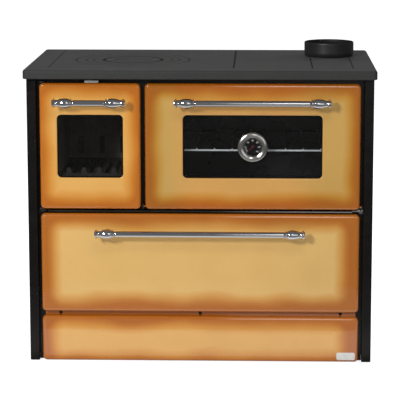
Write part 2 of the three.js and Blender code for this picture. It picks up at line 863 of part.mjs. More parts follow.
function gaugeDial() {
  return cylinder('y', gauge.dialRadius - clearance, [dialFront, dialBack], gaugeCentre, gauge.sides);
}

function gaugeLens() {
  const front = gaugeBack - gauge.lensForward - clearance;
  const y = [front, front + gauge.lensThickness];
  return cylinder('y', gauge.dialRadius + gauge.rebate - clearance, y, gaugeCentre, gauge.sides);
}

// The needle rests towards the cold end of the scale, at the lower left.
const needleRest = Math.PI / 4;

function gaugeNeedle() {
  const y = [dialFront - clearance - gauge.needleThickness, dialFront - clearance];
  const half = gauge.needleWidth / 2;
  const arrow = outline([
    [-half, gauge.needleTail],
    [-half, -gauge.needleLength],
    [half, -gauge.needleLength],
    [half, gauge.needleTail],
  ]);
  const pointer = new THREE.ExtrudeGeometry(arrow, { depth: y[1] - y[0], bevelEnabled: false });
  pointer.rotateZ(-needleRest);
  pointer.applyMatrix4(turns.y);
  pointer.translate(gaugeCentre.x, y[0], gaugeCentre.z);
  const hubY = [y[0] - gauge.needleThickness, y[1]];
  return solid(pointer).add(cylinder('y', gauge.hubRadius, hubY, gaugeCentre, hinge.sides));
}

// Firebox: a steel shell open to the front and the top, bricks on three sides, grate and ash pan

const shellX = grown(fireMouth.x, firebox.wall * 2);
const shellInnerX = grown(shellX, -firebox.wall);
const shellY = [behindFrame, behindFrame + firebox.depth];
const shellInnerBack = shellY[1] - firebox.wall;
const shellZ = [fireMouth.z[0] - firebox.wall, ledgeUnderside - clearance];
const grateBottom = fireMouth.z[0] + firebox.ashSpace;
const grateZ = [grateBottom, grateBottom + firebox.grate];
const ledge = { width: 14, thickness: 3, exitDrop: 52, exitInset: 24 };
const brickZ = [grateZ[1] + clearance, doorZ[1] - firebox.brickTopDrop];
const guard = { thickness: 7, bar: 13, tooth: 16, toothTip: 12, height: 29, pitch: 43, back: 6 };
const guardY = [shellY[0] + guard.back, shellY[0] + guard.back + guard.thickness];
const brickY = [guardY[1] + clearance, shellInnerBack - clearance];

function fireboxShell() {
  const outer = block(shellX, shellY, shellZ);
  const hollow = block(
    shellInnerX, [shellY[0] - overrun, shellInnerBack], [fireMouth.z[0], shellZ[1] + overrun]);
  const exitZ = [shellZ[1] - ledge.exitDrop, shellZ[1] + overrun];
  const exit = block(
    [shellInnerX[1] - overrun, shellX[1] + overrun],
    [shellY[0] + ledge.exitInset, shellInnerBack - ledge.exitInset], exitZ);
  const railZ = [grateZ[0] - clearance - ledge.thickness, grateZ[0] - clearance];
  const railY = [shellY[0], shellY[1]];
  const left = block([shellX[0], shellInnerX[0] + ledge.width], railY, railZ);
  const right = block([shellInnerX[1] - ledge.width, shellX[1]], railY, railZ);
  return outer.subtract(hollow).subtract(exit).add(left).add(right);
}

function sideBrick(side) {
  const wall = side < 0 ? shellInnerX[0] + clearance : shellInnerX[1] - clearance;
  const face = wall - side * firebox.brick;
  return block([Math.min(wall, face), Math.max(wall, face)], brickY, brickZ);
}

const airSlot = { width: 16.5, height: 54, above: 14, pitch: 63, depth: 12, count: 3 };
const backBrickX = grown(shellInnerX, -(2 * clearance + firebox.brick));

function backBrick() {
  const y = [brickY[1] - firebox.brick, brickY[1]];
  let body = block(backBrickX, y, brickZ);
  const slotZ = [brickZ[0] + airSlot.above, brickZ[0] + airSlot.above + airSlot.height];
  for (let i = 0; i < airSlot.count; i += 1) {
    const centre = middle(backBrickX) + (i - (airSlot.count - 1) / 2) * airSlot.pitch;
    const shape = roundedOutline(around(centre, airSlot.width), slotZ, airSlot.width / 2 - clearance);
    body = body.subtract(prism('y', shape, [y[0] - overrun, y[0] + airSlot.depth]));
  }
  return body;
}

const grateSlots = { width: 12, pitch: 24, count: 8, endInset: 60 };

function grate() {
  const y = [shellY[0] + clearance, shellInnerBack - clearance];
  let body = block(grown(shellInnerX, -clearance), y, grateZ);
  for (let i = 0; i < grateSlots.count; i += 1) {
    const centre = middle(shellInnerX) + (i - (grateSlots.count - 1) / 2) * grateSlots.pitch;
    const shape = roundedOutline(
      around(centre, grateSlots.width), grown(y, -grateSlots.endInset), grateSlots.width / 2 - clearance);
    body = body.subtract(prism('z', shape, grown(grateZ, overrun), 0, 1));
  }
  return body;
}

// The log guard is a low comb that stands on the grate behind the fire door.
function logGuard() {
  const x = grown(shellInnerX, -clearance);
  const low = grateZ[1] + clearance;
  const barTop = low + guard.bar;
  const toothTop = low + guard.height;
  const points = [[x[1], low], [x[0], low], [x[0], barTop]];
  const teeth = Math.round((x[1] - x[0]) / guard.pitch);
  for (let i = 0; i < teeth; i += 1) {
    const centre = middle(x) + (i - (teeth - 1) / 2) * guard.pitch;
    const root = around(centre, guard.tooth);
    const tip = around(centre, guard.toothTip);
    points.push([root[0], barTop], [tip[0], toothTop], [tip[1], toothTop], [root[1], barTop]);
  }
  points.push([x[1], barTop]);
  return prism('y', outline(points), guardY);
}

const ashPanSize = { sideGap: 18, height: 46, backGap: 30, frontGap: 6, lip: 14 };

function ashPan() {
  const x = grown(shellInnerX, -ashPanSize.sideGap);
  const y = [shellY[0] + ashPanSize.frontGap, shellInnerBack - ashPanSize.backGap];
  const z = [fireMouth.z[0] + clearance, fireMouth.z[0] + clearance + ashPanSize.height];
  const pan = block(x, y, z);
  const inside = block(grown(x, -sheet), grown(y, -sheet), [z[0] + sheet, z[1] + overrun]);
  const lip = block(around(middle(x), x[1] - x[0] - ashPanSize.sideGap * 2),
    [y[0] - ashPanSize.frontGap, y[0] + sheet], [z[1] - sheet, z[1]]);
  return pan.subtract(inside).add(lip);
}

// Oven: a box with pressed rails for the rack, and the smoke path round it

const ovenX = grown(ovenMouth.x, sheet);
const ovenY = [behindFrame, behindFrame + oven.depth];
const ovenZ = grown(ovenMouth.z, sheet);
const railCount = 3;
const rackRail = 1;

function railTop(level) {
  return ovenMouth.z[0] + oven.lowestRail + level * oven.railPitch;
}

function ovenBox() {
  const outer = block(ovenX, ovenY, ovenZ);
  const cavity = block(ovenMouth.x, [ovenY[0] - overrun, ovenY[1] - sheet], ovenMouth.z);
  const rails = [];
  for (let level = 0; level < railCount; level += 1) {
    const z = [railTop(level) - oven.railHeight, railTop(level)];
    rails.push(block([ovenX[0], ovenMouth.x[0] + oven.railProjection], ovenY, z));
    rails.push(block([ovenMouth.x[1] - oven.railProjection, ovenX[1]], ovenY, z));
  }
  return joined(outer.subtract(cavity), rails);
}

const rack = { wire: 2.6, cross: 1.8, weld: 0.6, sideGap: 2, frontGap: 14, backGap: 18, pitch: 50.7 };
const wireSides = { frame: 6, cross: 4 };

// The rack's two side wires rest on the middle rails. Its thin wires are welded on top of the others.
function ovenRack() {
  const x = grown(ovenMouth.x, -(rack.sideGap + rack.wire));
  const y = [ovenY[0] + rack.frontGap, ovenY[1] - rack.backGap];
  const z = railTop(rackRail) + clearance + rack.wire;
  const wires = x.map((place) => cylinder('y', rack.wire, y, { x: place, z }, wireSides.frame));
  const inner = grown(y, -rack.wire);
  for (const place of [inner[0], inner[1], middle(inner)]) {
    wires.push(cylinder('x', rack.wire, x, { y: place, z }, wireSides.frame));
  }
  const crossZ = z + rack.wire + rack.cross - rack.weld;
  const count = Math.floor((x[1] - x[0]) / rack.pitch);
  for (let i = 0; i < count; i += 1) {
    const place = middle(x) + (i - (count - 1) / 2) * rack.pitch;
    wires.push(cylinder('y', rack.cross, inner, { x: place, z: crossZ }, wireSides.cross));
  }
  return joined(wires);
}

const casing = { sideGap: 8, backGap: 34, bottomGap: 26 };
const casingRight = columnInner - casing.sideGap;
const casingBack = ovenY[1] + casing.backGap;
const casingBottom = ovenZ[0] - casing.bottomGap;
const casingTop = ledgeUnderside - clearance;

function smokeCasing() {
  const x = [shellX[1] + clearance, casingRight];
  const floor = block(x, [behindFrame, casingBack], [casingBottom, casingBottom + sheet]);
  const rightX = [casingRight - sheet, casingRight];
  const right = block(rightX, [behindFrame, casingBack], [casingBottom, casingTop]);
  const back = block(x, [casingBack - sheet, casingBack], [casingBottom, casingTop]);
  return joined(floor, right, back);
}

const baffle = { left: 20, front: 12 };

function smokeBaffle() {
  const left = coverOpening.x[0] - hob.ledgeWidth - baffle.left;
  const front = collarCentre.y - collarLand - baffle.front;
  const path = [
    [left, casingBack - sheet - clearance],
    [left, front],
    [casingRight - sheet - clearance, front],
  ];
  return prism('z', sheetOutline(path, sheet), [ovenZ[1] + clearance, casingTop]);
}

// Drawer: a steel box behind its panel, on side bars that slide in two runners

const boxHalf = drawerMouth.x[1] - drawer.sideGap;
const boxZ = [drawerMouth.z[0] + drawer.lift, drawerMouth.z[0] + drawer.lift + drawer.height];
const boxY = [panelBack - sheet, panelBack - sheet + drawer.depth];
const slideBar = { projection: 11, height: 12, fromBottom: 90, shortBack: 6 };
const barZ = [boxZ[0] + slideBar.fromBottom, boxZ[0] + slideBar.fromBottom + slideBar.height];
const barOuter = boxHalf + slideBar.projection;
const runnerGap = 1;

function drawerPanel() {
  const { outer, inner } = pressedShell(drawerX, drawerZ, panelBack);
  return outer.subtract(inner);
}

function drawerBox() {
  const outer = block([-boxHalf, boxHalf], boxY, boxZ);
  const insideX = grown([-boxHalf, boxHalf], -sheet);
  const insideY = grown(boxY, -sheet);
  const inside = block(insideX, insideY, [boxZ[0] + sheet, boxZ[1] + overrun]);
  const inset = sheet + clearance;
  const plateOutline = roundedOutline(
    grown(drawerX, -inset), grown(drawerZ, -inset), panel.cornerRadius - sheet);
  const plate = prism('y', plateOutline, [boxY[0], boxY[0] + sheet]);
  const bars = block([-barOuter, barOuter], [frameFront, boxY[1] - slideBar.shortBack], barZ);
  const betweenBars = block(insideX, insideY, grown(barZ, overrun));
  return outer.subtract(inside).add(plate).add(bars.subtract(betweenBars));
}

function runner(side) {
  const web = barOuter + clearance;
  const y = [behindFrame, boxY[1]];
  const mirrored = (low, high) => (side > 0 ? [low, high] : [-high, -low]);
  const lower = [barZ[0] - clearance - sheet, barZ[0] - clearance];
  const upper = [barZ[1] + clearance, barZ[1] + clearance + sheet];
  return joined(
    block(mirrored(boxHalf + runnerGap, insideSide), y, lower),
    block(mirrored(boxHalf + runnerGap, web + sheet), y, upper),
    block(mirrored(web, web + sheet), y, [lower[0], upper[1]]),
    block(mirrored(insideSide - sheet, insideSide), y, [lower[0], upper[1]]));
}

// Assembly

const cabinet = new THREE.Group();
cabinet.add(
  piece('hob_frame', hobFrame(), 'castIron'),
  piece('flue_cover_plate', flueCover(), 'castIron'),
  piece('flue_collar', flueCollar(), 'castIron'),
  piece('side_panel_left', sidePanel(-1), 'blackEnamel'),
  piece('side_panel_right', sidePanel(1), 'blackEnamel'),
  piece('back_panel', backPanel(), 'darkSteel'),
  piece('base_tray', baseTray(), 'darkSteel'),
  piece('foot_front_left', foot(-1, -1), 'darkSteel'),
  piece('foot_front_right', foot(1, -1), 'darkSteel'),
  piece('foot_rear_left', foot(-1, 1), 'darkSteel'),
  piece('foot_rear_right', foot(1, 1), 'darkSteel'),
  piece('plinth_panel', plinthPanel(), 'enamel'),
  piece('front_frame', frontFrame(), 'blackEnamel'),
  piece('fire_bracket_top', fireBracketTop(), 'darkSteel'),
  piece('fire_bracket_bottom', fireBracketBottom(), 'darkSteel'),
  piece('oven_bracket_left', ovenBracket(ovenBracketLeftX), 'darkSteel'),
  piece('oven_bracket_right', ovenBracket(ovenBracketRightX), 'darkSteel'),
  piece('fire_door_catch', fireCatch(), 'steel'),
  piece('firebox_shell', fireboxShell(), 'darkSteel'),
  piece('firebrick_left', sideBrick(-1), 'brick'),
  piece('firebrick_right', sideBrick(1), 'brick'),
  piece('firebrick_back', backBrick(), 'brick'),
  piece('fire_grate', grate(), 'castIron'),
  piece('log_guard', logGuard(), 'castIron'),
  piece('ash_pan', ashPan(), 'darkSteel'),
  piece('oven_box', ovenBox(), 'darkSteel'),
  piece('oven_rack', ovenRack(), 'steel'),
  piece('smoke_casing', smokeCasing(), 'darkSteel'),
  piece('smoke_baffle', smokeBaffle(), 'darkSteel'),
  piece('drawer_runner_left', runner(-1), 'steel'),
  piece('drawer_runner_right', runner(1), 'steel'),
);

const liftOff = new THREE.Group();
liftOff.add(
  piece('cooking_plate', cookingPlateBody(), 'castIron'),
  piece('ring_outer', hobRing(rings.outerRadius, rings.middleRadius), 'castIron'),
  piece('ring_middle', hobRing(rings.middleRadius, rings.innerRadius), 'castIron'),
  piece('ring_inner', hobRing(rings.innerRadius, rings.discRadius), 'castIron'),
  piece('centre_disc', centreDisc(), 'castIron'),
);

const fireDoor = new THREE.Group();
fireDoor.add(
  piece('fire_door_panel', fireDoorPanel(), 'enamel'),
  piece('fire_door_frame', doorInnerFrame(fireDoorX, doorZ, fireWindow), 'darkSteel'),
  piece('fire_door_glass', doorGlass(fireDoorX, doorZ, fireWindow), 'glass'),
  piece('fire_door_seal', sealRing(fireMouth), 'rope'),
  ...handleParts('fire', fireDoorX, handleMargin.fire, doorZ[1]),
);

const ovenDoor = new THREE.Group();
ovenDoor.add(
  piece('oven_door_panel', ovenDoorPanel(), 'enamel'),
  piece('oven_door_frame', doorInnerFrame(ovenDoorX, doorZ, ovenWindow), 'darkSteel'),
  piece('oven_door_glass', ovenGlass(), 'glass'),
  piece('oven_door_seal', sealRing(ovenMouth), 'rope'),
  piece('thermometer_case', gaugeCase(), 'chrome'),
  piece('thermometer_dial', gaugeDial(), 'dial'),
  piece('thermometer_lens', gaugeLens(), 'glass'),
  piece('thermometer_needle', gaugeNeedle(), 'needle'),
  ...handleParts('oven', ovenDoorX, handleMargin.oven, doorZ[1]),
);

const drawerGroup = new THREE.Group();
drawerGroup.add(
  piece('drawer_panel', drawerPanel(), 'enamel'),
  piece('drawer_box', drawerBox(), 'steel'),
  ...handleParts('drawer', drawerX, handleMargin.drawer, drawerZ[1]),
);

const stove = new THREE.Group();
stove.add(cabinet, liftOff, fireDoor, ovenDoor, drawerGroup, piece('air_slider', airSlider(), 'steel'));

// The handles reach further forward than the hob, so the whole is moved back to centre its footprint.
stove.position.y = -middle([handleAxisY - handle.endRadius, hobY[1]]);

export default stove;
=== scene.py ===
import math

import bmesh
import bpy
import numpy as np
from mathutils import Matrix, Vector
from mathutils.geometry import delaunay_2d_cdt


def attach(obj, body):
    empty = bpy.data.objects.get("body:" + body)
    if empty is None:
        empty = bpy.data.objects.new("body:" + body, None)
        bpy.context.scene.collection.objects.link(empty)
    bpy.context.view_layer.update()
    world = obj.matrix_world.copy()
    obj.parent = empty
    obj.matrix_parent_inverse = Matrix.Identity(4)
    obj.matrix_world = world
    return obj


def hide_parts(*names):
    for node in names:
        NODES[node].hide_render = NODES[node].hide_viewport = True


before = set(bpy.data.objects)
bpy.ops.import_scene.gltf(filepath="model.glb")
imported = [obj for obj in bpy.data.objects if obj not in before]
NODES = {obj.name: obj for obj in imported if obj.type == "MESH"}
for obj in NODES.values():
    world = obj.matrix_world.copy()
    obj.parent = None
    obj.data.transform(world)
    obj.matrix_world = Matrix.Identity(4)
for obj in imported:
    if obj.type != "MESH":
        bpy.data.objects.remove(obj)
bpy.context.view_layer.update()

# Wood cookstove: enamelled doors, drawer and plinth on a black cabinet under a cast hob.
# Metres, in the frame's own axes: X to the right, Y to the back, Z up.

PANEL_FRONT = -0.24135
PANEL_DEPTH = 0.02
PLINTH_DEPTH = 0.0237
SHEET = 0.002
PANEL_CORNER = 0.012
PANEL_EDGE = 0.009
PANEL_RIM = 0.021
WINDOW_CORNER = 0.012
WINDOW_EDGE = 0.004
WINDOW_FLANGE = 0.008

FIRE_DOOR = ((-0.4545, -0.168), (0.447, 0.808))
OVEN_DOOR = ((-0.156, 0.4545), (0.447, 0.808))
DRAWER = ((-0.4545, 0.4545), (0.147, 0.434))
PLINTH = ((-0.4545, 0.4545), (0.002, 0.135))
FIRE_WINDOW = ((-0.4045, -0.218), (0.538, 0.718))
OVEN_WINDOW = ((-0.048, 0.3465), (0.538, 0.718))

HOB_TOP = 0.85
HOB_UNDERSIDE = 0.822
LEDGE_TOP = 0.844
LEDGE_UNDERSIDE = 0.836
PLATE_UNDERSIDE = 0.838
HOB_PLATE_UNDERSIDE = 0.842
SEAM = 0.001
LEDGE = 0.008
HOB = ((-0.498, 0.498), (-0.26635, 0.29365))
COOKING_PLATE = ((-0.43, 0.095), (-0.21635, 0.24865))
RING_CENTRE = (-0.204, -0.00435)
RING_RADII = {"outer": 0.167, "middle": 0.137, "inner": 0.116, "disc": 0.086}
COLLAR_CENTRE = (0.375, 0.11865)
COLLAR_RADIUS = 0.0735
COVER_X = (0.3175, 0.4325)
COVER_FRONT = -0.21835
COVER_CORNER = 0.004
NOTCH_HALF, NOTCH_LENGTH = 0.007, 0.022
DISC_RECESS, RECESS_DEPTH = 0.055, 0.0015
SEAT_GAP = 0.0003

HANDLE_Y = -0.27935
HANDLE_Z = {"fire": 0.7565, "oven": 0.7565, "drawer": 0.3825}
HANDLE_REACH = {"fire": (-0.4145, -0.208), "oven": (-0.071, 0.3695), "drawer": (-0.2985, 0.2985)}
HANDLE_BODY = {"fire": "fire_door", "oven": "oven_door", "drawer": "drawer"}

GAUGE = (0.14925, 0.628)


def linear(colour):
    """Colour as seen on a screen, 0 to 255, as the amounts of light that a shader takes."""
    share = np.asarray(colour, float) / 255
    low = share / 12.92
    high = ((share + 0.055) / 1.055) ** 2.4
    return tuple(np.where(share <= 0.04045, low, high))


# Outlines, each a closed loop of points in two directions


def rounded_rectangle(u, v, radius, inset=0.0, steps=8):
    """Four quarter turns, each its corner's centre plus the radius times the cosine and sine of the angle.
    An inset moves every side inwards and takes the same length off the radius."""
    turn = np.concatenate([np.linspace(0, np.pi / 2, steps + 1) + i * np.pi / 2 for i in range(4)])
    small = max(radius - inset, 0.0003)
    right, left = u[1] - inset - small, u[0] + inset + small
    top, bottom = v[1] - inset - small, v[0] + inset + small
    centre_u = np.repeat([right, left, left, right], steps + 1)
    centre_v = np.repeat([top, top, bottom, bottom], steps + 1)
    return np.stack([centre_u + small * np.cos(turn), centre_v + small * np.sin(turn)], axis=1)


def four_corners(u, v):
    """A plain rectangle between two places each way."""
    return np.array([[u[0], v[0]], [u[1], v[0]], [u[1], v[1]], [u[0], v[1]]])


def arc_about(centre, radius, turn):
    """Centre plus the radius times the cosine and sine of each angle."""
    return np.stack([centre[0] + radius * np.cos(turn), centre[1] + radius * np.sin(turn)], axis=1)


def circle(centre, radius, points=96):
    """An arc all the way round, whose last point stops one step short of its first."""
    return arc_about(centre, radius, np.linspace(0, 2 * np.pi, points, endpoint=False))


def cover_outline(inset):
    """A rectangle whose back edge is an arc round the flue collar: the arc's radius grows by the inset
    while the straight sides move in by it."""
    radius = COLLAR_RADIUS + SEAM + inset
    left, right, front = COVER_X[0] + inset, COVER_X[1] - inset, COVER_FRONT + inset
    reach = (right - left) / 2
    start = math.atan2(-math.sqrt(radius ** 2 - reach ** 2), reach)
    back = arc_about(COLLAR_CENTRE, radius, np.linspace(start, -np.pi - start, 25))
    small = max(COVER_CORNER - inset, 0.0005)
    quarter = np.linspace(0, np.pi / 2, 5)
    front_left = np.stack([left + small - small * np.cos(quarter), front + small - small * np.sin(quarter)], axis=1)
    front_right = np.stack([right - small + small * np.sin(quarter), front + small - small * np.cos(quarter)], axis=1)
    return np.concatenate([front_left, front_right, back])


def disc_outline(inset):
    """A circle with a straight notch cut in from its front edge for the lifting tool."""
    radius = RING_RADII["disc"] - SEAM - inset
    half = NOTCH_HALF + inset
    end = RING_CENTRE[1] - RING_RADII["disc"] + SEAM + NOTCH_LENGTH + inset
    start = math.asin(half / radius)
    edge = arc_about(RING_CENTRE, radius, np.linspace(-np.pi / 2 + start, 1.5 * np.pi - start, 90))
    notch = np.array([[RING_CENTRE[0] - half, end], [RING_CENTRE[0] + half, end]])
    return np.concatenate([edge, notch])


# Profiles, each a row of points drawn across an edge


def eased(corners, radii, steps=4, support=0.0006, closed=False):
    """A path through the corners with every turn replaced by an arc that touches both sides.
    One more point stands just past each end of the arc, so that flat faces stay flat when shaded."""
    corners = np.asarray(corners, float)
    count = len(corners)
    radii = np.broadcast_to(radii, count)
    rows = []
    for i in range(count):
        if (not closed and i in (0, count - 1)) or radii[i] <= 0:
            rows.append(corners[i][None])
            continue
        before, after = corners[i - 1] - corners[i], corners[(i + 1) % count] - corners[i]
        reach_before, reach_after = np.linalg.norm(before), np.linalg.norm(after)
        before, after = before / reach_before, after / reach_after
        half = math.acos(float(np.clip(before @ after, -1, 1))) / 2
        tangent = min(radii[i] / math.tan(half), 0.45 * reach_before, 0.45 * reach_after)
        radius = tangent * math.tan(half)
        bisector = (before + after) / np.linalg.norm(before + after)
        centre = corners[i] + bisector * radius / math.sin(half)
        start = corners[i] + before * tangent - centre
        end = corners[i] + after * tangent - centre
        swing = np.pi - 2 * half
        share = np.linspace(0, 1, steps + 1)[:, None]
        arc = centre + (np.sin((1 - share) * swing) * start + np.sin(share * swing) * end) / math.sin(swing)
        lead = min(support, 0.04 * min(reach_before, reach_after))
        rows.append((corners[i] + before * (tangent + lead))[None])
        rows.append(arc)
        rows.append((corners[i] + after * (tangent + lead))[None])
    return np.concatenate(rows)


def flowing(points, steps=6):
    """A smooth path through the points: each stretch is the cubic whose slope at a point is half the way
    from the point before to the point after."""
    points = np.asarray(points, float)
    padded = np.concatenate([2 * points[:1] - points[1:2], points, 2 * points[-1:] - points[-2:-1]])
    share = np.linspace(0, 1, steps, endpoint=False)[None, :, None]
    p0, p1, p2, p3 = (padded[i:len(padded) - 3 + i][:, None, :] for i in range(4))
    cubic = 0.5 * (2 * p1 + (p2 - p0) * share + (2 * p0 - 5 * p1 + 4 * p2 - p3) * share ** 2
                   + (3 * p1 - p0 - 3 * p2 + p3) * share ** 3)
    return np.concatenate([cubic.reshape(-1, points.shape[1]), points[-1:]])


ORDER = {"x": (2, 0, 1), "y": (0, 2, 1), "z": (0, 1, 2)}


def placed(u, v, along, axis):
    """Two outline directions and a place along the axis, as X, Y and Z."""
    u, v, along = np.broadcast_arrays(u, v, along)
    both = np.stack([u, v, along], axis=-1)
    return both[..., list(ORDER[axis])]


class Shell:
    """The points and faces of one piece, gathered part by part."""

    def __init__(self):
        self.points = []
        self.faces = []
        self.count = 0

    def add(self, points, faces):
        """Takes in points, and faces that number those points from 0."""
        points = np.asarray(points, float).reshape(-1, 3)
        self.points.append(points)
        self.faces.extend([tuple(self.count + i for i in face) for face in faces])
        self.count += len(points)

    def grid(self, rows, closed=False):
        """Quads between neighbouring loops, each loop joined back to its own start."""
        rows = np.asarray(rows, float)
        height, width = rows.shape[:2]
        last = height if closed else height - 1
        r, c = np.meshgrid(np.arange(last), np.arange(width), indexing="ij")
        nr, nc = (r + 1) % height, (c + 1) % width
        quads = np.stack([r * width + c, r * width + nc, nr * width + nc, nr * width + c], axis=-1)
        self.add(rows, quads.reshape(-1, 4).tolist())

    def cap(self, loop):
        """One face bounded by the loop."""
        self.add(loop, [tuple(range(len(loop)))])

    def slab(self, loop, levels, axis):
        """A solid with the loop as its section, from one level to the other."""
        rows = [placed(*loop.T, level, axis) for level in levels]
        self.grid(rows)
        self.cap(rows[0])
        self.cap(rows[1])

    def flat(self, loops, level, axis):
        """One flat face bounded by the first loop, with the other loops as holes in it."""
        flat_points = np.concatenate(loops)
        edges = []
        start = 0
        for loop in loops:
            index = np.arange(len(loop))
            edges += np.stack([start + index, start + (index + 1) % len(loop)], axis=1).tolist()
            start += len(loop)
        made = delaunay_2d_cdt([Vector(p) for p in flat_points.tolist()], edges, [], 1, 1e-7)
        points = np.array([[p.x, p.y] for p in made[0]])
        faces = np.array([face for face in made[2] if len(face) == 3])
        middle = points[faces].mean(axis=1)
        keep = enclosed(middle, loops[0])
        for loop in loops[1:]:
            keep &= ~enclosed(middle, loop)
        self.add(placed(points[:, 0], points[:, 1], level, axis), faces[keep].tolist())


def enclosed(points, loop):
    """True where a line to the right from the point crosses the loop an odd number of times."""
    u, v = points[:, 0][:, None], points[:, 1][:, None]
    u0, v0 = loop[:, 0][None], loop[:, 1][None]
    u1, v1 = np.roll(loop[:, 0], -1)[None], np.roll(loop[:, 1], -1)[None]
    spans = (v0 > v) != (v1 > v)
    rise = np.where(v1 == v0, 1e-12, v1 - v0)
    crosses = spans & (u < (u1 - u0) * (v - v0) / rise + u0)
    return crosses.sum(axis=1) % 2 == 1


def carried(outline, profile, axis):
    """A profile of insets and levels carried along an outline: one loop for each of its points."""
    return [placed(*outline(inset).T, level, axis) for inset, level in profile]


def edge_band(shell, outline, profile, axis):
    """A carried profile as a band of faces. Returns the outline at its first and at its last point."""
    shell.grid(carried(outline, profile, axis))
    return outline(profile[0][0]), outline(profile[-1][0])


def plate(shell, outer, holes, axis):
    """A flat plate: every outline's edge profile runs from the plate's upper face to its lower face, and
    both faces are filled between the loops at its ends."""
    ends = [edge_band(shell, outline, profile, axis) for outline, profile in [outer, *holes]]
    shell.flat([first for first, _ in ends], outer[1][0][1], axis)
    shell.flat([last for _, last in ends], outer[1][-1][1], axis)


def turned(shell, profile, centre, axis, sides=72, closed=False):
    """A profile of radius and place along the axis, turned: radius times the cosine and sine of the angle."""
    profile = np.asarray(profile, float)
    turn = np.linspace(0, 2 * np.pi, sides, endpoint=False)[None]
    radius, along = profile[:, 0][:, None], profile[:, 1][:, None]
    place = {"x": (centre[1], centre[2], centre[0]), "y": (centre[0], centre[2], centre[1]),
             "z": (centre[0], centre[1], centre[2])}[axis]
    rows = placed(place[0] + radius * np.cos(turn), place[1] + radius * np.sin(turn), place[2] + along, axis)
    shell.grid(rows, closed)


def bar(shell, start, end, radius, sides=12):
    """A straight round wire with softly rounded ends."""
    axis = "xyz"[int(np.argmax(np.abs(np.subtract(end, start))))]
    length = float(np.abs(np.subtract(end, start)).max())
    low = [min(a, b) for a, b in zip(start, end)]
    profile = eased([[0, 0], [radius, 0], [radius, length], [0, length]], radius * 0.4, 3)
    turned(shell, profile, low, axis, sides)


def made(name, shell, finish, slot, body, instead=(), crease=32):
    """The piece as a Blender object: doubles merged, faces turned outwards, and shaded smooth up to a crease."""
    mesh = bpy.data.meshes.new(name)
    mesh.from_pydata(np.concatenate(shell.points).tolist(), [], shell.faces)
    work = bmesh.new()
    work.from_mesh(mesh)
    bmesh.ops.remove_doubles(work, verts=work.verts, dist=2e-6)
    bmesh.ops.dissolve_degenerate(work, edges=work.edges, dist=1e-6)
    bmesh.ops.recalc_face_normals(work, faces=work.faces)
    work.to_mesh(mesh)
    work.free()
    mesh.materials.append(finish)
    mesh.shade_smooth()
    mesh.set_sharp_from_angle(angle=math.radians(crease))
    piece = bpy.data.objects.new(name, mesh)
    bpy.context.scene.collection.objects.link(piece)
    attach(piece, body)
    if instead:
        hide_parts(*instead)


# Finishes: the places on the stove that they follow


# Seams darkened partly by soot and partly by painted shade, each as radius, reach and depth.
RING_SOOT_AND_SHADE = [(RING_RADII["outer"], 0.005, 0.5), (RING_RADII["middle"], 0.0045, 0.4),
             (RING_RADII["inner"], 0.0045, 0.4), (RING_RADII["disc"], 0.009, 1.0),
             (DISC_RECESS + SEAM, 0.006, 0.25)]
PLATE_RUN, COVER_RUN = (-0.2173, 0.2496), (-0.2193, 0.07)
STRAIGHT_SOOT_AND_SHADE = [("X", COOKING_PLATE[0][1], 0.005, 0.8, *PLATE_RUN),
                 ("X", COOKING_PLATE[0][0], 0.005, 0.25, *PLATE_RUN),
                 ("Y", COOKING_PLATE[1][0], 0.006, 0.35, 0.0, COOKING_PLATE[0][1]),
                 ("X", COVER_X[0], 0.004, 0.7, *COVER_RUN), ("X", COVER_X[1], 0.004, 0.5, *COVER_RUN)]
SEAM_SOOT_AND_SHADE_TINT, RIM_PAINTED_SHADE, BORE_SHADE = (60, 60, 60), (180, 180, 180), (112, 112, 112)
BORE_EDGE = (0.0675, 0.0715)
OVEN_MOUTH = (-0.1955, -0.190)
SHUTTER_LINE = (-0.2200, -0.2175)
BACK_BRICK_FACE, BACK_BRICK_MIDDLE, BACK_BRICK_REACH = 0.15065, -0.31125, 0.0996
# Painted highlight on the enamel: how far below a panel's top its pale line runs, and how far it reaches.
PAINTED_HIGHLIGHT_DROP, PAINTED_HIGHLIGHT_REACH = 0.007, 0.003
CROSS_BAR, CROSS_BAR_REACH, CROSS_BAR_BOW = 0.439, 0.008, 0.002
FIELD_CORNER, FADE, WOBBLE = 0.02, 0.022, 0.036
TONE_PLACES = (0.0, 0.2, 0.45, 0.75, 1.0)


# Finishes: the parts they are put together from


def fed(tree, socket, value):
    """Links a worked-out value to a socket, or writes an even one on it."""
    if isinstance(value, Value):
        value = value.source
    if isinstance(value, bpy.types.NodeSocket):
        tree.links.new(value, socket)
    else:
        socket.default_value = value


def one_sum(operation):
    """A sum of the named kind, done by one node with a value first and any others after it."""
    def work(value, *others):
        return value.through("ShaderNodeMath", {"operation": operation}, others)
    return work


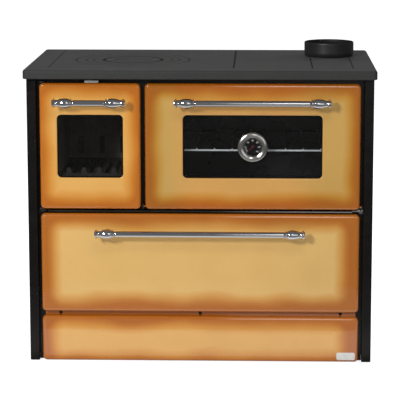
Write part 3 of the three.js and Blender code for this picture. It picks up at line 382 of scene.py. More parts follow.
class Value:
    """A number or colour worked out at every point of a surface. What is done to it adds a node and gives a new
    value."""
    __add__, __sub__, __mul__, __pow__ = map(one_sum, ("ADD", "SUBTRACT", "MULTIPLY", "POWER"))
    __abs__, __lt__, __gt__ = map(one_sum, ("ABSOLUTE", "LESS_THAN", "GREATER_THAN"))
    larger, smaller, root = map(one_sum, ("MAXIMUM", "MINIMUM", "SQRT"))

    def __init__(self, tree, source):
        self.tree, self.source = tree, source

    def through(self, kind, settings, others):
        """The first output of a new node that is fed with this value and then the others."""
        node = self.tree.nodes.new(kind)
        for word, setting in settings.items():
            setattr(node, word, setting)
        for socket, value in zip(node.inputs, (self, *others)):
            fed(self.tree, socket, value)
        return Value(self.tree, node.outputs[0])

    def ranged(self, start, end, low, high, smooth=False):
        """Low where this value is at the start, high where it is at the end."""
        kind = "SMOOTHSTEP" if smooth else "LINEAR"
        return self.through("ShaderNodeMapRange", {"interpolation_type": kind}, (start, end, low, high))

    def near(self, place, reach):
        """1 where this value is at a place, falling smoothly to 0 at a reach from it."""
        return abs(self - place).ranged(0.0, reach, 1.0, 0.0, smooth=True)

    def shaded(self, *stops):
        """A colour for each level of this value, from stops of place and colour."""
        ramp = self.tree.nodes.new("ShaderNodeValToRGB")
        fed(self.tree, ramp.inputs[0], self)
        elements = ramp.color_ramp.elements
        while len(elements) < len(stops):
            elements.new(0.5)
        for element, (place, colour) in zip(elements, stops):
            element.position = place
            element.color = (*linear(colour), 1)
        return Value(self.tree, ramp.outputs[0])

    def blended(self, factor, shade, way="MIX"):
        """This colour taken towards a shade by a factor."""
        mix = self.tree.nodes.new("ShaderNodeMix")
        mix.data_type = "RGBA"
        mix.blend_type = way
        for word, value in (("Factor", factor), ("A", self), ("B", (*linear(shade), 1))):
            fed(self.tree, mix.inputs[word], value)
        return Value(self.tree, mix.outputs["Result"])

    def tinted(self, factor, shade):
        """This colour with a shade multiplied in by a factor."""
        return self.blended(factor, shade, "MULTIPLY")


class Finish:
    """One material. Its even values are written on the shader's own sockets."""

    def __init__(self, name, colour, roughness, metallic=0.0, specular=0.5, plain=None):
        self.material = bpy.data.materials.new(name)
        self.material.use_nodes = True
        self.tree = self.material.node_tree
        self.sockets = self.tree.nodes["Principled BSDF"].inputs
        even = {"Base Color": (*linear(colour), 1), "Roughness": roughness, "Metallic": metallic,
                "Specular IOR Level": specular, **(plain or {})}
        for word, value in even.items():
            self.wear(word, value)

    def wear(self, word, value):
        """Puts a value on one of the shader's sockets."""
        fed(self.tree, self.sockets[word], value)

    def pattern(self, kind, settings, output, stretch=(1, 1, 1)):
        """One output of a new node that follows a point's place, multiplied by a stretch along each axis."""
        place = self.tree.nodes.new("ShaderNodeTexCoord").outputs["Object"]
        if stretch != (1, 1, 1):
            mapping = self.tree.nodes.new("ShaderNodeMapping")
            mapping.inputs["Scale"].default_value = stretch
            self.tree.links.new(place, mapping.inputs["Vector"])
            place = mapping.outputs[0]
        node = self.tree.nodes.new(kind)
        self.tree.links.new(place, node.inputs["Vector"])
        for word, value in settings.items():
            node.inputs[word].default_value = value
        return Value(self.tree, node.outputs[output])

    def axes(self):
        """A point's X, Y and Z."""
        return {axis: self.pattern("ShaderNodeSeparateXYZ", {}, axis) for axis in "XYZ"}

    def speckle(self, scale, detail=3.0, coarse=0.5, stretch=(1, 1, 1)):
        """Cloudy noise between 0 and 1, with about as many clouds to the metre as its scale."""
        return self.pattern("ShaderNodeTexNoise", {"Scale": scale, "Detail": detail, "Roughness": coarse},
                            "Fac", stretch)

    def cells(self, scale):
        """A point's distance from the nearest of many scattered seeds, for crystals and pores."""
        return self.pattern("ShaderNodeTexVoronoi", {"Scale": scale}, "Distance")

    def even(self, colour):
        """A colour that is the same all over, ready to be tinted."""
        return Value(self.tree, (*linear(colour), 1))

    def dressed(self, colour=None, roughness=None, height=None, depth=0.0, normals=("Normal",)):
        """The material, wearing a worked-out colour and roughness, with an unevenness of a real depth in metres
        worked into its normals."""
        for word, value in (("Base Color", colour), ("Roughness", roughness)):
            if value is not None:
                self.wear(word, value)
        if height is not None:
            bump = self.tree.nodes.new("ShaderNodeBump")
            for word, value in (("Strength", 1.0), ("Distance", depth), ("Height", height)):
                fed(self.tree, bump.inputs[word], value)
            for word in normals:
                self.wear(word, bump.outputs[0])
        return self.material


def diagonal(across, up):
    """The root of the sum of two squares."""
    return (across ** 2.0 + up ** 2.0).root()


def from_upright(place, centre):
    """A point's distance from an upright line."""
    return diagonal(*[place[axis] - middle for axis, middle in zip("XY", centre)])


# Finishes: enamel


def sprayed_enamel(name, x, z, margins, tones, drift=(), painted_highlight=0.0):
    """Two-tone enamel: a pale field inside a darker border that was sprayed on by hand. How far a point
    lies outside the field's rounded rectangle, plus a slow wobble, sets its tone. A drift tints a stretch
    of X more and more, and a painted highlight is a paler line along the top of the panel's right-hand part."""
    finish = Finish(name, tones[0], 0.16, specular=0.4, plain={
        "Coat Weight": 1.0, "Coat IOR": 1.6, "Coat Roughness": 0.04})
    left, right, bottom, top = margins
    place = finish.axes()

    def beyond(value, low, high):
        """How far a value lies outside a stretch whose ends are drawn in by the field's corner."""
        return abs(value - (low + high) / 2) - ((high - low) / 2 - FIELD_CORNER)

    over_x = beyond(place["X"], x[0] + left, x[1] - right)
    over_z = beyond(place["Z"], z[0] + bottom, z[1] - top)
    outside = diagonal(over_x.larger(0.0), over_z.larger(0.0))
    away = outside + over_x.larger(over_z).smaller(0.0) - FIELD_CORNER
    slow = (finish.speckle(7.0, 1.0, 0.5) - 0.5) * WOBBLE
    colour = (away + slow).ranged(-FADE, FADE, 0.0, 1.0).shaded(*zip(TONE_PLACES, tones))
    for start, end, shade in drift:
        colour = colour.tinted(place["X"].ranged(start, end, 0.0, 1.0, smooth=True), shade)
    # Painted highlight: a paler line just under the top edge stands in for a lamp's reflection on the rolled edge.
    if painted_highlight:
        line = place["Z"].near(z[1] - PAINTED_HIGHLIGHT_DROP, PAINTED_HIGHLIGHT_REACH)
        rising = place["X"].ranged(x[1] - 0.44, x[1] - 0.3, 0.0, painted_highlight, smooth=True)
        ending = place["X"].ranged(x[1] - 0.03, x[1] - 0.008, 1.0, 0.0)
        colour = colour.blended(line * rising * ending, (226, 170, 136))
    mottle = finish.speckle(420.0, 2.0, 0.6).ranged(0.35, 0.7, 0.0, 0.08)
    cloud = finish.speckle(11.0, 2.0, 0.5).ranged(0.4, 0.75, 0.0, 0.12)
    colour = colour.tinted(mottle, (196, 150, 90)).tinted(cloud, (214, 196, 150))
    return finish.dressed(colour, finish.speckle(60.0).ranged(0.3, 0.7, 0.13, 0.21),
                          finish.speckle(150.0, 2.0, 0.45), 0.00006)


def black_tone(finish, dark, pale):
    """The black enamel's clouds, and the roughness that goes with them."""
    return (finish.speckle(24.0, 3.0, 0.5).shaded((0.35, dark), (0.7, pale)),
            finish.speckle(30.0).ranged(0.3, 0.7, 0.22, 0.32))


def black_enamel():
    """The folded side sheets' black, nearly smooth."""
    finish = Finish("black_cabinet_enamel", (16, 14, 12), 0.3, specular=0.24)
    return finish.dressed(*black_tone(finish, (14, 12, 10), (18, 16, 14)), finish.speckle(520.0, 2.0, 0.5), 0.00001)


def frame_enamel():
    """The cabinet's black, with the cross-bar under the doors rolled to a shallow polished bow."""
    finish = Finish("black_frame_enamel", (16, 14, 12), 0.26, specular=0.3, plain={
        "Coat IOR": 2.5, "Coat Roughness": 0.1})
    place = finish.axes()
    bow = place["Z"].near(CROSS_BAR, CROSS_BAR_REACH)
    finish.wear("Coat Weight", bow * place["X"].ranged(0.0, 0.28, 0.0, 1.0, smooth=True))
    return finish.dressed(*black_tone(finish, (15, 13, 11), (20, 18, 16)), bow, CROSS_BAR_BOW,
                          ("Normal", "Coat Normal"))


# Finishes: cast iron


def round_seams(place, seams):
    """Soot and painted shade beside the rings' seams: how near a point's distance from the rings' centre is to a seam's
    radius.
    """
    out = from_upright(place, RING_CENTRE)
    total = 0.0
    for radius, reach, depth in seams:
        total = (out.near(radius, reach) * depth).larger(total)
    return total


def straight_seams(place, seams):
    """Soot and painted shade beside straight seams. Each has the axis it is measured on, its place, how far the
    darkening reaches, its depth, and the stretch of the other axis where the seam runs."""
    total = 0.0
    for axis, level, reach, depth, start, end in seams:
        along = place["Y" if axis == "X" else "X"]
        run = (along > start) * (along < end)
        total = (place[axis].near(level, reach) * depth * run).larger(total)
    return total


def cast_plate(name, pale, dark, roughness, sooty_and_shaded=False):
    """Ground cast iron under a thin heat-proof coat: fine even grain, faint milling and soft blotches."""
    finish = Finish(name, pale, roughness, specular=0.2)
    blotch = finish.speckle(11.0, 5.0, 0.62)
    grain = finish.speckle(900.0, 2.0, 0.6)
    milling = finish.speckle(60.0, 3.0, 0.6, (0.12, 4.0, 1.0))
    colour = (blotch * 0.6 + (grain * 0.25 + milling * 0.15)).shaded((0.36, dark), (0.62, pale))
    if sooty_and_shaded:
        place = finish.axes()
        # Soot and painted shade along the seams.
        soot = round_seams(place, RING_SOOT_AND_SHADE).larger(straight_seams(place, STRAIGHT_SOOT_AND_SHADE))
        # Painted shade: the rim below the top face is tinted darker than the top, as a side that catches less light.
        rim = place["Z"].ranged(HOB_TOP - 0.004, HOB_TOP - 0.0005, 1.0, 0.0, smooth=True)
        colour = colour.tinted(soot, SEAM_SOOT_AND_SHADE_TINT).tinted(rim, RIM_PAINTED_SHADE)
    return finish.dressed(colour, blotch.ranged(0.3, 0.7, roughness - 0.06, roughness + 0.08),
                          grain + milling * 0.4, 0.00009)


def collar_finish():
    """Cast iron like the hob's, a little glossier outside and darker inside the bore."""
    finish = Finish("collar_cast_iron", (32, 32, 32), 0.42, specular=0.38)
    bore = from_upright(finish.axes(), COLLAR_CENTRE).ranged(*BORE_EDGE, 1.0, 0.0, smooth=True)
    grain = finish.speckle(700.0, 2.0, 0.6)
    colour = finish.speckle(14.0, 4.0, 0.6).shaded((0.36, (25, 25, 25)), (0.62, (32, 32, 32)))
    return finish.dressed(colour.tinted(bore, BORE_SHADE), grain.ranged(0.3, 0.7, 0.36, 0.5).larger(bore * 0.9),
                          grain, 0.00008)


# Finishes: sheet, wire and plated metal


def polished_chrome(name, colour, low, high, stretch=(1, 1, 1)):
    """Plated metal: a mirror with faint smears and hair-fine polishing lines."""
    finish = Finish(name, colour, low, 1.0)
    return finish.dressed(None, finish.speckle(45.0, 4.0, 0.6).ranged(0.3, 0.75, low, high),
                          finish.speckle(240.0, 2.0, 0.5, stretch), 0.000012)


def dark_sheet(name, pale, dark, roughness, specular=0.4, scale=26.0):
    """Heat-proof painted steel with soot and dust in soft clouds."""
    finish = Finish(name, pale, roughness, specular=specular)
    cloud = finish.speckle(scale, 5.0, 0.62)
    return finish.dressed(cloud.shaded((0.35, dark), (0.68, pale)), cloud.ranged(0.3, 0.7, roughness, roughness + 0.18),
                          finish.speckle(700.0, 2.0, 0.55), 0.00005)


def plain_steel(name, pale, dark, roughness, stretch, metallic=0.85):
    """Rolled zinc-coated steel: long brushed streaks along the sheet and a faint crystal pattern."""
    finish = Finish(name, pale, roughness, metallic)
    streak = finish.speckle(120.0, 4.0, 0.6, stretch)
    both = streak * 0.75 + finish.cells(55.0) * 0.4
    return finish.dressed(both.shaded((0.3, dark), (0.7, pale)),
                          streak.ranged(0.3, 0.7, roughness - 0.07, roughness + 0.1), streak, 0.00003)


def shelf_wire():
    """Chromed wire, near white at the oven's mouth and darkened by painted shade further in."""
    finish = Finish("rack_wire_chrome", (215, 215, 215), 0.4, specular=0.3)
    stain = finish.speckle(60.0, 4.0, 0.6)
    # Painted shade: deeper in the oven the wire is tinted nearly black, where little light reaches.
    inside = finish.axes()["Y"].ranged(*OVEN_MOUTH, 0.0, 1.0, smooth=True)
    bare_wire_tone = stain.shaded((0.3, (232, 238, 242)), (0.7, (246, 251, 255)))
    return finish.dressed(bare_wire_tone.tinted(inside, (34, 30, 27)), stain.ranged(0.3, 0.7, 0.2, 0.34), stain, 0.00002)


def slider_metal():
    """Zinc on the part that stands out in front, soot-black on the shutter behind the front sheet."""
    finish = Finish("slider_zinc", (170, 170, 168), 0.4, 0.7)
    streak = finish.speckle(90.0, 3.0, 0.6, (0.3, 3.0, 3.0))
    behind = finish.axes()["Y"].ranged(*SHUTTER_LINE, 0.0, 1.0, smooth=True)
    bright = streak.shaded((0.3, (150, 150, 150)), (0.7, (196, 196, 194)))
    return finish.dressed(bright.tinted(behind, (26, 26, 26)), streak.ranged(0.3, 0.7, 0.34, 0.46), streak, 0.00003)


# Finishes: brick, rope, glass and print


def slot_shade_mask(place):
    """1 inside the back brick's slots, told by how far behind the brick's face a point between the side bricks is."""
    behind = place["Y"].ranged(BACK_BRICK_FACE + 0.0005, BACK_BRICK_FACE + 0.003, 0.0, 1.0)
    return behind * (abs(place["X"] - BACK_BRICK_MIDDLE) < BACK_BRICK_REACH)


def fire_clay():
    """Pressed refractory brick: pale grit, pores and a grey veil of soot towards the top."""
    finish = Finish("fire_clay", (150, 136, 116), 0.94, specular=0.15)
    grit = finish.speckle(260.0, 4.0, 0.7)
    place = finish.axes()
    soot = place["Z"].ranged(0.53, 0.75, -0.1, 0.34) + finish.speckle(11.0, 4.0, 0.55).ranged(0.0, 1.0, 0.2, 0.7)
    colour = soot.shaded((0.3, (188, 179, 163)), (0.62, (132, 125, 115)), (0.85, (84, 80, 76)))
    # Painted shade inside the back brick's slots.
    colour = colour.tinted(slot_shade_mask(place), (168, 163, 156))
    colour = colour.tinted(grit.ranged(0.35, 0.7, 0.0, 0.6), (120, 104, 84))
    return finish.dressed(colour, None, grit + finish.cells(340.0), 0.0005)


def rope_fibre():
    """Knitted glass fibre, greyed by smoke."""
    finish = Finish("glass_fibre_rope", (58, 55, 51), 0.95, specular=0.1, plain={"Sheen Weight": 0.3})
    thread = finish.speckle(900.0, 3.0, 0.6)
    return finish.dressed(thread.shaded((0.35, (38, 36, 34)), (0.7, (92, 88, 82))), None, thread, 0.0003)


def door_glass(name, x, z, haze, smoke_and_shade_film):
    """Clear heat-proof glass with a black printed border: the border's mask sets how opaque it is, and a
    film, partly smoke and partly painted shade over the firebox and oven behind, veils the rest."""
    finish = Finish(name, haze, 0.03, specular=0.45)
    place = finish.axes()
    corner, border = 0.01, 0.003
    over = [(abs(place[axis] - (low + high) / 2) - ((high - low) / 2 - border - corner)).larger(0.0)
            for axis, (low, high) in (("X", x), ("Z", z))]
    mask = diagonal(*over).ranged(corner, corner + 0.0008, 0.0, 1.0, smooth=True)
    # Painted shade: the dark film's opacity darkens the firebox and oven seen through the glass.
    finish.wear("Alpha", mask.larger(finish.speckle(9.0, 3.0, 0.5).ranged(0.3, 0.8, *smoke_and_shade_film)))
    return finish.dressed(finish.even(haze).tinted(mask, (70, 70, 72)))


def lens_glass():
    """Thin clear glass over the dial, shown by its reflections alone."""
    return Finish("thermometer_lens_glass", (12, 12, 13), 0.02, plain={"Alpha": 0.12}).material


def printed(name, colour):
    """Ink, worn a little thin in places."""
    finish = Finish(name, colour, 0.5)
    worn = finish.speckle(700.0).ranged(0.4, 0.8, 0.0, 0.25)
    return finish.dressed(finish.even(colour).tinted(worn, (150, 150, 150)))


FIRE_TONES = [(224, 171, 91), (221, 163, 81), (214, 149, 63), (199, 124, 33), (185, 104, 19)]
OVEN_TONES = [(208, 157, 85), (205, 149, 72), (198, 135, 49), (184, 109, 23), (175, 94, 13)]
DRAWER_TONES = [(223, 181, 109), (218, 168, 94), (209, 150, 71), (190, 119, 41), (178, 102, 25)]
PLINTH_TONES = [(223, 170, 88), (219, 160, 75), (210, 143, 53), (192, 116, 28), (177, 98, 17)]

enamel_fire = sprayed_enamel("enamel_fire_door", *FIRE_DOOR, (0.028, 0.031, 0.034, 0.031), FIRE_TONES)
enamel_oven = sprayed_enamel("enamel_oven_door", *OVEN_DOOR, (0.04, 0.031, 0.037, 0.034), OVEN_TONES,
                             drift=[(-0.02, -0.11, (236, 252, 250)), (0.24, 0.37, (242, 255, 253))], painted_highlight=0.4)
enamel_drawer = sprayed_enamel("enamel_drawer", *DRAWER, (0.044, 0.05, 0.038, 0.036), DRAWER_TONES,
                               drift=[(0.1, 0.42, (248, 251, 252))], painted_highlight=0.35)
enamel_plinth = sprayed_enamel("enamel_plinth", *PLINTH, (0.046, 0.046, 0.02, 0.03), PLINTH_TONES, painted_highlight=0.4)
cabinet_black = black_enamel()
frame_black = frame_enamel()
hob_iron = cast_plate("hob_cast_iron", (80, 80, 79), (72, 72, 72), 0.56, sooty_and_shaded=True)
ring_iron = cast_plate("ring_cast_iron", (79, 79, 78), (71, 70, 70), 0.52, sooty_and_shaded=True)
collar_iron = collar_finish()
grate_iron = cast_plate("grate_cast_iron", (88, 84, 78), (66, 62, 58), 0.7)
guard_iron = cast_plate("guard_cast_iron", (68, 66, 62), (54, 52, 50), 0.7)
handle_chrome = polished_chrome("handle_chrome", (206, 206, 208), 0.04, 0.12, (9.0, 0.4, 0.4))
bezel_chrome = polished_chrome("bezel_chrome", (180, 178, 173), 0.12, 0.24)
oven_enamel = dark_sheet("oven_lining_enamel", (50, 51, 51), (40, 41, 41), 0.2, 0.5, 9.0)
soot_steel = dark_sheet("firebox_steel", (58, 56, 54), (38, 38, 37), 0.55)
hidden_steel = dark_sheet("cabinet_inner_steel", (46, 46, 47), (34, 34, 35), 0.5)
bracket_steel = dark_sheet("bracket_black_steel", (34, 33, 32), (24, 23, 22), 0.42)
back_paint = dark_sheet("back_sheet_paint", (44, 44, 45), (33, 33, 34), 0.45, 0.4, 12.0)
zinc_sheet = plain_steel("zinc_sheet", (168, 172, 176), (120, 124, 128), 0.36, (0.15, 3.0, 3.0))
rack_wire = shelf_wire()
slider_zinc = slider_metal()
screw_black = plain_steel("black_screw", (58, 58, 60), (34, 34, 36), 0.4, (2.0, 2.0, 2.0))
brick_clay = fire_clay()
seal_rope = rope_fibre()
fire_glass = door_glass("fire_door_pane", *FIRE_WINDOW, (24, 24, 23), (0.18, 0.26))
oven_glass = door_glass("oven_door_pane", *OVEN_WINDOW, (31, 31, 30), (0.14, 0.28))
gauge_glass = lens_glass()
dial_black = dark_sheet("dial_black", (28, 28, 28), (21, 21, 21), 0.6, 0.1)
print_white = printed("dial_white_print", (232, 232, 228))
pointer_red = printed("pointer_red", (104, 30, 24))
blank_silver = plain_steel("blank_plate_silver", (232, 230, 226), (212, 210, 206), 0.5, (0.4, 3.0, 3.0), 0.3)


# Enamelled panels


WINDOW_LAP = 0.009
OVEN_PINS = ((-0.1635, -0.155), (0.4535, 0.462))
OVEN_PIN_Y, OVEN_PIN_Z, OVEN_PIN_RADIUS = -0.23335, 0.455, 0.003
UPSTAND_X, UPSTAND_Z, UPSTAND_Y = (-0.4465, 0.4465), (0.133, 0.145), (-0.21965, -0.21765)


def pressed_panel(shell, x, z, depth, window):
    """One sheet pressed into a tray. Its section runs over the front, round the edge and down the side,
    then back inside, and is carried along the panel's rounded outline. At a window the section goes on
    as a flange that runs back to the glass."""
    back = PANEL_FRONT + depth
    inner_front = PANEL_FRONT + SHEET
    inner_edge = PANEL_EDGE - SHEET
    section = eased([
        [PANEL_RIM, PANEL_FRONT], [0, PANEL_FRONT], [0, back], [SHEET, back],
        [SHEET, inner_front], [PANEL_RIM, inner_front],
    ], [0, PANEL_EDGE, 0.0006, 0.0006, inner_edge, 0], steps=7)
    rows = carried(lambda inset: rounded_rectangle(x, z, PANEL_CORNER, inset, 9), section, "y")
    if window is None:
        shell.grid(rows)
        shell.cap(rows[0])
        shell.cap(rows[-1])
        return
    flange_end = PANEL_FRONT + WINDOW_FLANGE
    window_section = eased([
        [-WINDOW_LAP, inner_front], [-SHEET, inner_front], [-SHEET, flange_end], [0, flange_end],
        [0, PANEL_FRONT], [-WINDOW_LAP, PANEL_FRONT],
    ], [0, 0.002, 0.0005, 0.0005, WINDOW_EDGE, 0], steps=7)
    rows += carried(lambda inset: rounded_rectangle(*window, WINDOW_CORNER, inset, 9), window_section, "y")
    shell.grid(rows, closed=True)


def oven_pins(shell):
    """The two pins that the oven door drops on."""
    for start, end in OVEN_PINS:
        bar(shell, (start, OVEN_PIN_Y, OVEN_PIN_Z), (end, OVEN_PIN_Y, OVEN_PIN_Z), OVEN_PIN_RADIUS)


def plinth_upstand(shell):
    """The low strip over the plinth, by which it is screwed on."""
    loop = eased(four_corners(UPSTAND_X, UPSTAND_Z), [0.0002, 0.0002, 0.003, 0.003], closed=True)
    shell.slab(loop, UPSTAND_Y, "y")


for word, place, window, depth, finish, body, extra in (
        ("fire_door", FIRE_DOOR, FIRE_WINDOW, PANEL_DEPTH, enamel_fire, "fire_door", None),
        ("oven_door", OVEN_DOOR, OVEN_WINDOW, PANEL_DEPTH, enamel_oven, "oven_door", oven_pins),
        ("drawer", DRAWER, None, PANEL_DEPTH, enamel_drawer, "drawer", None),
        ("plinth", PLINTH, None, PLINTH_DEPTH, enamel_plinth, "cabinet", plinth_upstand)):
    shell = Shell()
    pressed_panel(shell, *place, depth, window)
    if extra:
        extra(shell)
    made(f"{word}_enamel_panel", shell, finish, "enamel", body, [f"{word}_panel"])


# Handles


TIP_SECTION = eased([
    [0, 0], [0.0098, 0.0], [0.0104, 0.0026], [0.0137, 0.0042], [0.0137, 0.0068], [0.0102, 0.0086], [0.0095, 0.011],
], [0, 0.0012, 0.0008, 0.0006, 0.0006, 0.0012, 0], steps=3, support=0.0002)
BARREL_SECTION = flowing([
    [0.0095, 0.011], [0.0095, 0.0145], [0.0105, 0.0175], [0.0119, 0.0215], [0.0131, 0.027], [0.01375, 0.0325],
    [0.0139, 0.037], [0.0136, 0.0418], [0.0127, 0.0462], [0.0112, 0.0492], [0.0099, 0.0508],
], steps=4)[1:]
END_LENGTH = 0.057
RING_SECTION = eased([
    [0.0099, 0.0509], [0.0099, 0.0519], [0.0135, 0.0524], [0.0135, 0.0546], [0.0098, 0.0552],
    [0.0091, END_LENGTH], [0.0, END_LENGTH],
], [0, 0.0002, 0.0008, 0.0008, 0.0003, 0.0004, 0], steps=3, support=0.0001)
END_SECTION = np.concatenate([TIP_SECTION, BARREL_SECTION, RING_SECTION])
ROD_RADIUS = 0.0088
POST_PLACE, POST_RADIUS, POST_FOOT_RADIUS = 0.0353, 0.0062, 0.0084
POST_LENGTH = PANEL_FRONT - HANDLE_Y
POST_SECTION = eased([
    [0, 0.002], [POST_RADIUS, 0.002], [POST_RADIUS, POST_LENGTH - 0.008], [POST_FOOT_RADIUS, POST_LENGTH - 0.004],
    [POST_FOOT_RADIUS, POST_LENGTH - SEAT_GAP], [0, POST_LENGTH - SEAT_GAP],
], [0, 0.0005, 0.003, 0.0012, 0.0003, 0])


def handle(prefix):
    """A round rod between two turned ends. Each end is its section turned about the rod's own line, and
    stands on a turned post that meets the panel."""
    low, high = HANDLE_REACH[prefix]
    z, body = HANDLE_Z[prefix], HANDLE_BODY[prefix]
    for side, tip, word in ((1, low, "left"), (-1, high, "right")):
        shell = Shell()
        turned(shell, END_SECTION * [1, side], (tip, HANDLE_Y, z), "x", 56)
        turned(shell, POST_SECTION, (tip + side * POST_PLACE, HANDLE_Y, z), "y", 40)
        made(f"{prefix}_handle_turned_end_{word}", shell, handle_chrome, "chrome", body,
             [f"{prefix}_handle_end_{word}"], crease=40)
    shell = Shell()
    bar(shell, (low + END_LENGTH, HANDLE_Y, z), (high - END_LENGTH, HANDLE_Y, z), ROD_RADIUS, 56)
    made(f"{prefix}_handle_bar", shell, handle_chrome, "chrome", body, [f"{prefix}_handle_rod"], crease=40)


for prefix in HANDLE_BODY:
    handle(prefix)


# Hob


HOB_CORNER, HOB_EDGE, PLATE_CORNER = 0.012, 0.009, 0.006
RIM_INSIDE = 0.0067
COLLAR_HOLE = 0.0688
UNDER_STEP = LEDGE_TOP + SEAT_GAP


def rect_outline(rect, corner):
    """A rounded rectangle as an outline for any inset."""
    return lambda inset: rounded_rectangle(*rect, corner, inset, 6)


def opening(back, round_edge, **more):
    """Across the edge of a plain hole in the hob, from its upper face down to its lower face."""
    return eased([[back, HOB_TOP], [0, HOB_TOP], [0, HOB_PLATE_UNDERSIDE], [back, HOB_PLATE_UNDERSIDE]],
                 [0, *round_edge, 0], **more)


hob_shell = Shell()
outer_section = eased([[0.02, HOB_TOP], [0, HOB_TOP], [0, HOB_UNDERSIDE], [RIM_INSIDE, HOB_UNDERSIDE],
                       [RIM_INSIDE, HOB_PLATE_UNDERSIDE], [0.02, HOB_PLATE_UNDERSIDE]],
                      [0, HOB_EDGE, 0.003, 0.001, 0.001, 0], steps=8)
# The cooking plate's seat runs over the rim, down to the ledge and back under it. Insets count towards the
# metal here, so the ledge is the stretch with negative values.
seat_section = eased([[0.004, HOB_TOP], [0, HOB_TOP], [0, LEDGE_TOP], [-LEDGE, LEDGE_TOP], [-LEDGE, LEDGE_UNDERSIDE],
                      [LEDGE, LEDGE_UNDERSIDE], [LEDGE, HOB_PLATE_UNDERSIDE], [0.0095, HOB_PLATE_UNDERSIDE]],
                     [0, 0.0007, 0.0006, 0.001, 0.0006, 0.0006, 0.0006, 0], steps=3)
plate(hob_shell, (rect_outline(HOB, HOB_CORNER), outer_section), [
    (lambda inset: rounded_rectangle(*COOKING_PLATE, PLATE_CORNER, -inset, 6), seat_section),
    (lambda inset: cover_outline(-inset), opening(0.0035, (0.0007, 0.0006), steps=3)),
    (lambda inset: circle(COLLAR_CENTRE, COLLAR_HOLE + inset),
     opening(0.0015, (0.0005, 0.0005), steps=2, support=0.0003)),
], "z")
cover_ledge = eased([[-LEDGE, LEDGE_TOP], [0.001, LEDGE_TOP], [0.001, LEDGE_UNDERSIDE], [-LEDGE, LEDGE_UNDERSIDE]],
                    0.0006, closed=True, steps=2)
hob_shell.grid(carried(lambda inset: cover_outline(-inset), cover_ledge, "z"), closed=True)
made("hob_casting", hob_shell, hob_iron, "cast_iron", "cabinet", ["hob_frame"])

# Lift-outs: a lip with a seam round it lies on the ledge, and the core hangs down inside.
step_rounds = [0, 0.0007, 0.0005, 0.0005, 0.001, 0]
stepped_edge = eased([[0.012, HOB_TOP], [SEAM, HOB_TOP], [SEAM, UNDER_STEP], [LEDGE + SEAM, UNDER_STEP],
                      [LEDGE + SEAM, PLATE_UNDERSIDE], [0.014, PLATE_UNDERSIDE]], step_rounds, steps=3)
ring_seat = eased([[0.004, HOB_TOP], [0, HOB_TOP], [0, LEDGE_TOP], [-LEDGE, LEDGE_TOP], [-LEDGE, PLATE_UNDERSIDE],
                   [0.002, PLATE_UNDERSIDE]], step_rounds, steps=3)
plate_shell = Shell()
plate(plate_shell, (rect_outline(COOKING_PLATE, PLATE_CORNER), stepped_edge), [
    (lambda inset: circle(RING_CENTRE, RING_RADII["outer"] + inset), ring_seat),
], "z")
made("cooking_plate_casting", plate_shell, hob_iron, "cast_iron", "cooking_plate", ["cooking_plate"])

RING_AXIS = (*RING_CENTRE, 0.0)
for node, outer, inner in (("ring_outer", "outer", "middle"), ("ring_middle", "middle", "inner"),
                           ("ring_inner", "inner", "disc")):
    flange, hole = RING_RADII[outer] - SEAM, RING_RADII[inner]
    section = eased([
        [hole - LEDGE, PLATE_UNDERSIDE], [flange - LEDGE, PLATE_UNDERSIDE], [flange - LEDGE, UNDER_STEP],
        [flange, UNDER_STEP], [flange, HOB_TOP], [hole, HOB_TOP], [hole, LEDGE_TOP], [hole - LEDGE, LEDGE_TOP],
    ], [0.0008, 0.0008, 0.0005, 0.0005, 0.0007, 0.0007, 0.0005, 0.0008], steps=3, closed=True)
    shell = Shell()
    turned(shell, section, RING_AXIS, "z", 128, closed=True)
    made(f"{node}_casting", shell, ring_iron, "cast_iron", node, [node])

disc_shell = Shell()
RECESS_FLOOR = HOB_TOP - RECESS_DEPTH
upper_edge = eased([[0.004, HOB_TOP], [0, HOB_TOP], [0, UNDER_STEP], [0.004, UNDER_STEP]],
                   [0, 0.0007, 0.0005, 0], steps=3)
top_loop, under_loop = edge_band(disc_shell, disc_outline, upper_edge, "z")
recess = eased([[0.003, HOB_TOP], [0, HOB_TOP], [-RECESS_DEPTH, RECESS_FLOOR], [-0.006, RECESS_FLOOR]],
               [0, 0.0008, 0.0008, 0], steps=3)
recess_top, recess_floor = edge_band(disc_shell, lambda inset: circle(RING_CENTRE, DISC_RECESS + inset), recess, "z")
disc_shell.flat([top_loop, recess_top], HOB_TOP, "z")
disc_shell.flat([recess_floor], RECESS_FLOOR, "z")
disc_shell.flat([under_loop], UNDER_STEP, "z")
core_radius, core_top = RING_RADII["disc"] - LEDGE - SEAM, LEDGE_TOP + SEAT_GAP / 2
core_section = eased([[0, core_top], [core_radius, core_top], [core_radius, PLATE_UNDERSIDE], [0, PLATE_UNDERSIDE]],
                     [0, 0.0003, 0.001, 0])
turned(disc_shell, core_section, RING_AXIS, "z", 96)
made("centre_disc_casting", disc_shell, ring_iron, "cast_iron", "centre_disc", ["centre_disc"])

cover_shell = Shell()
plate(cover_shell, (cover_outline, stepped_edge), [], "z")
made("flue_cover_casting", cover_shell, hob_iron, "cast_iron", "flue_cover", ["flue_cover_plate"])

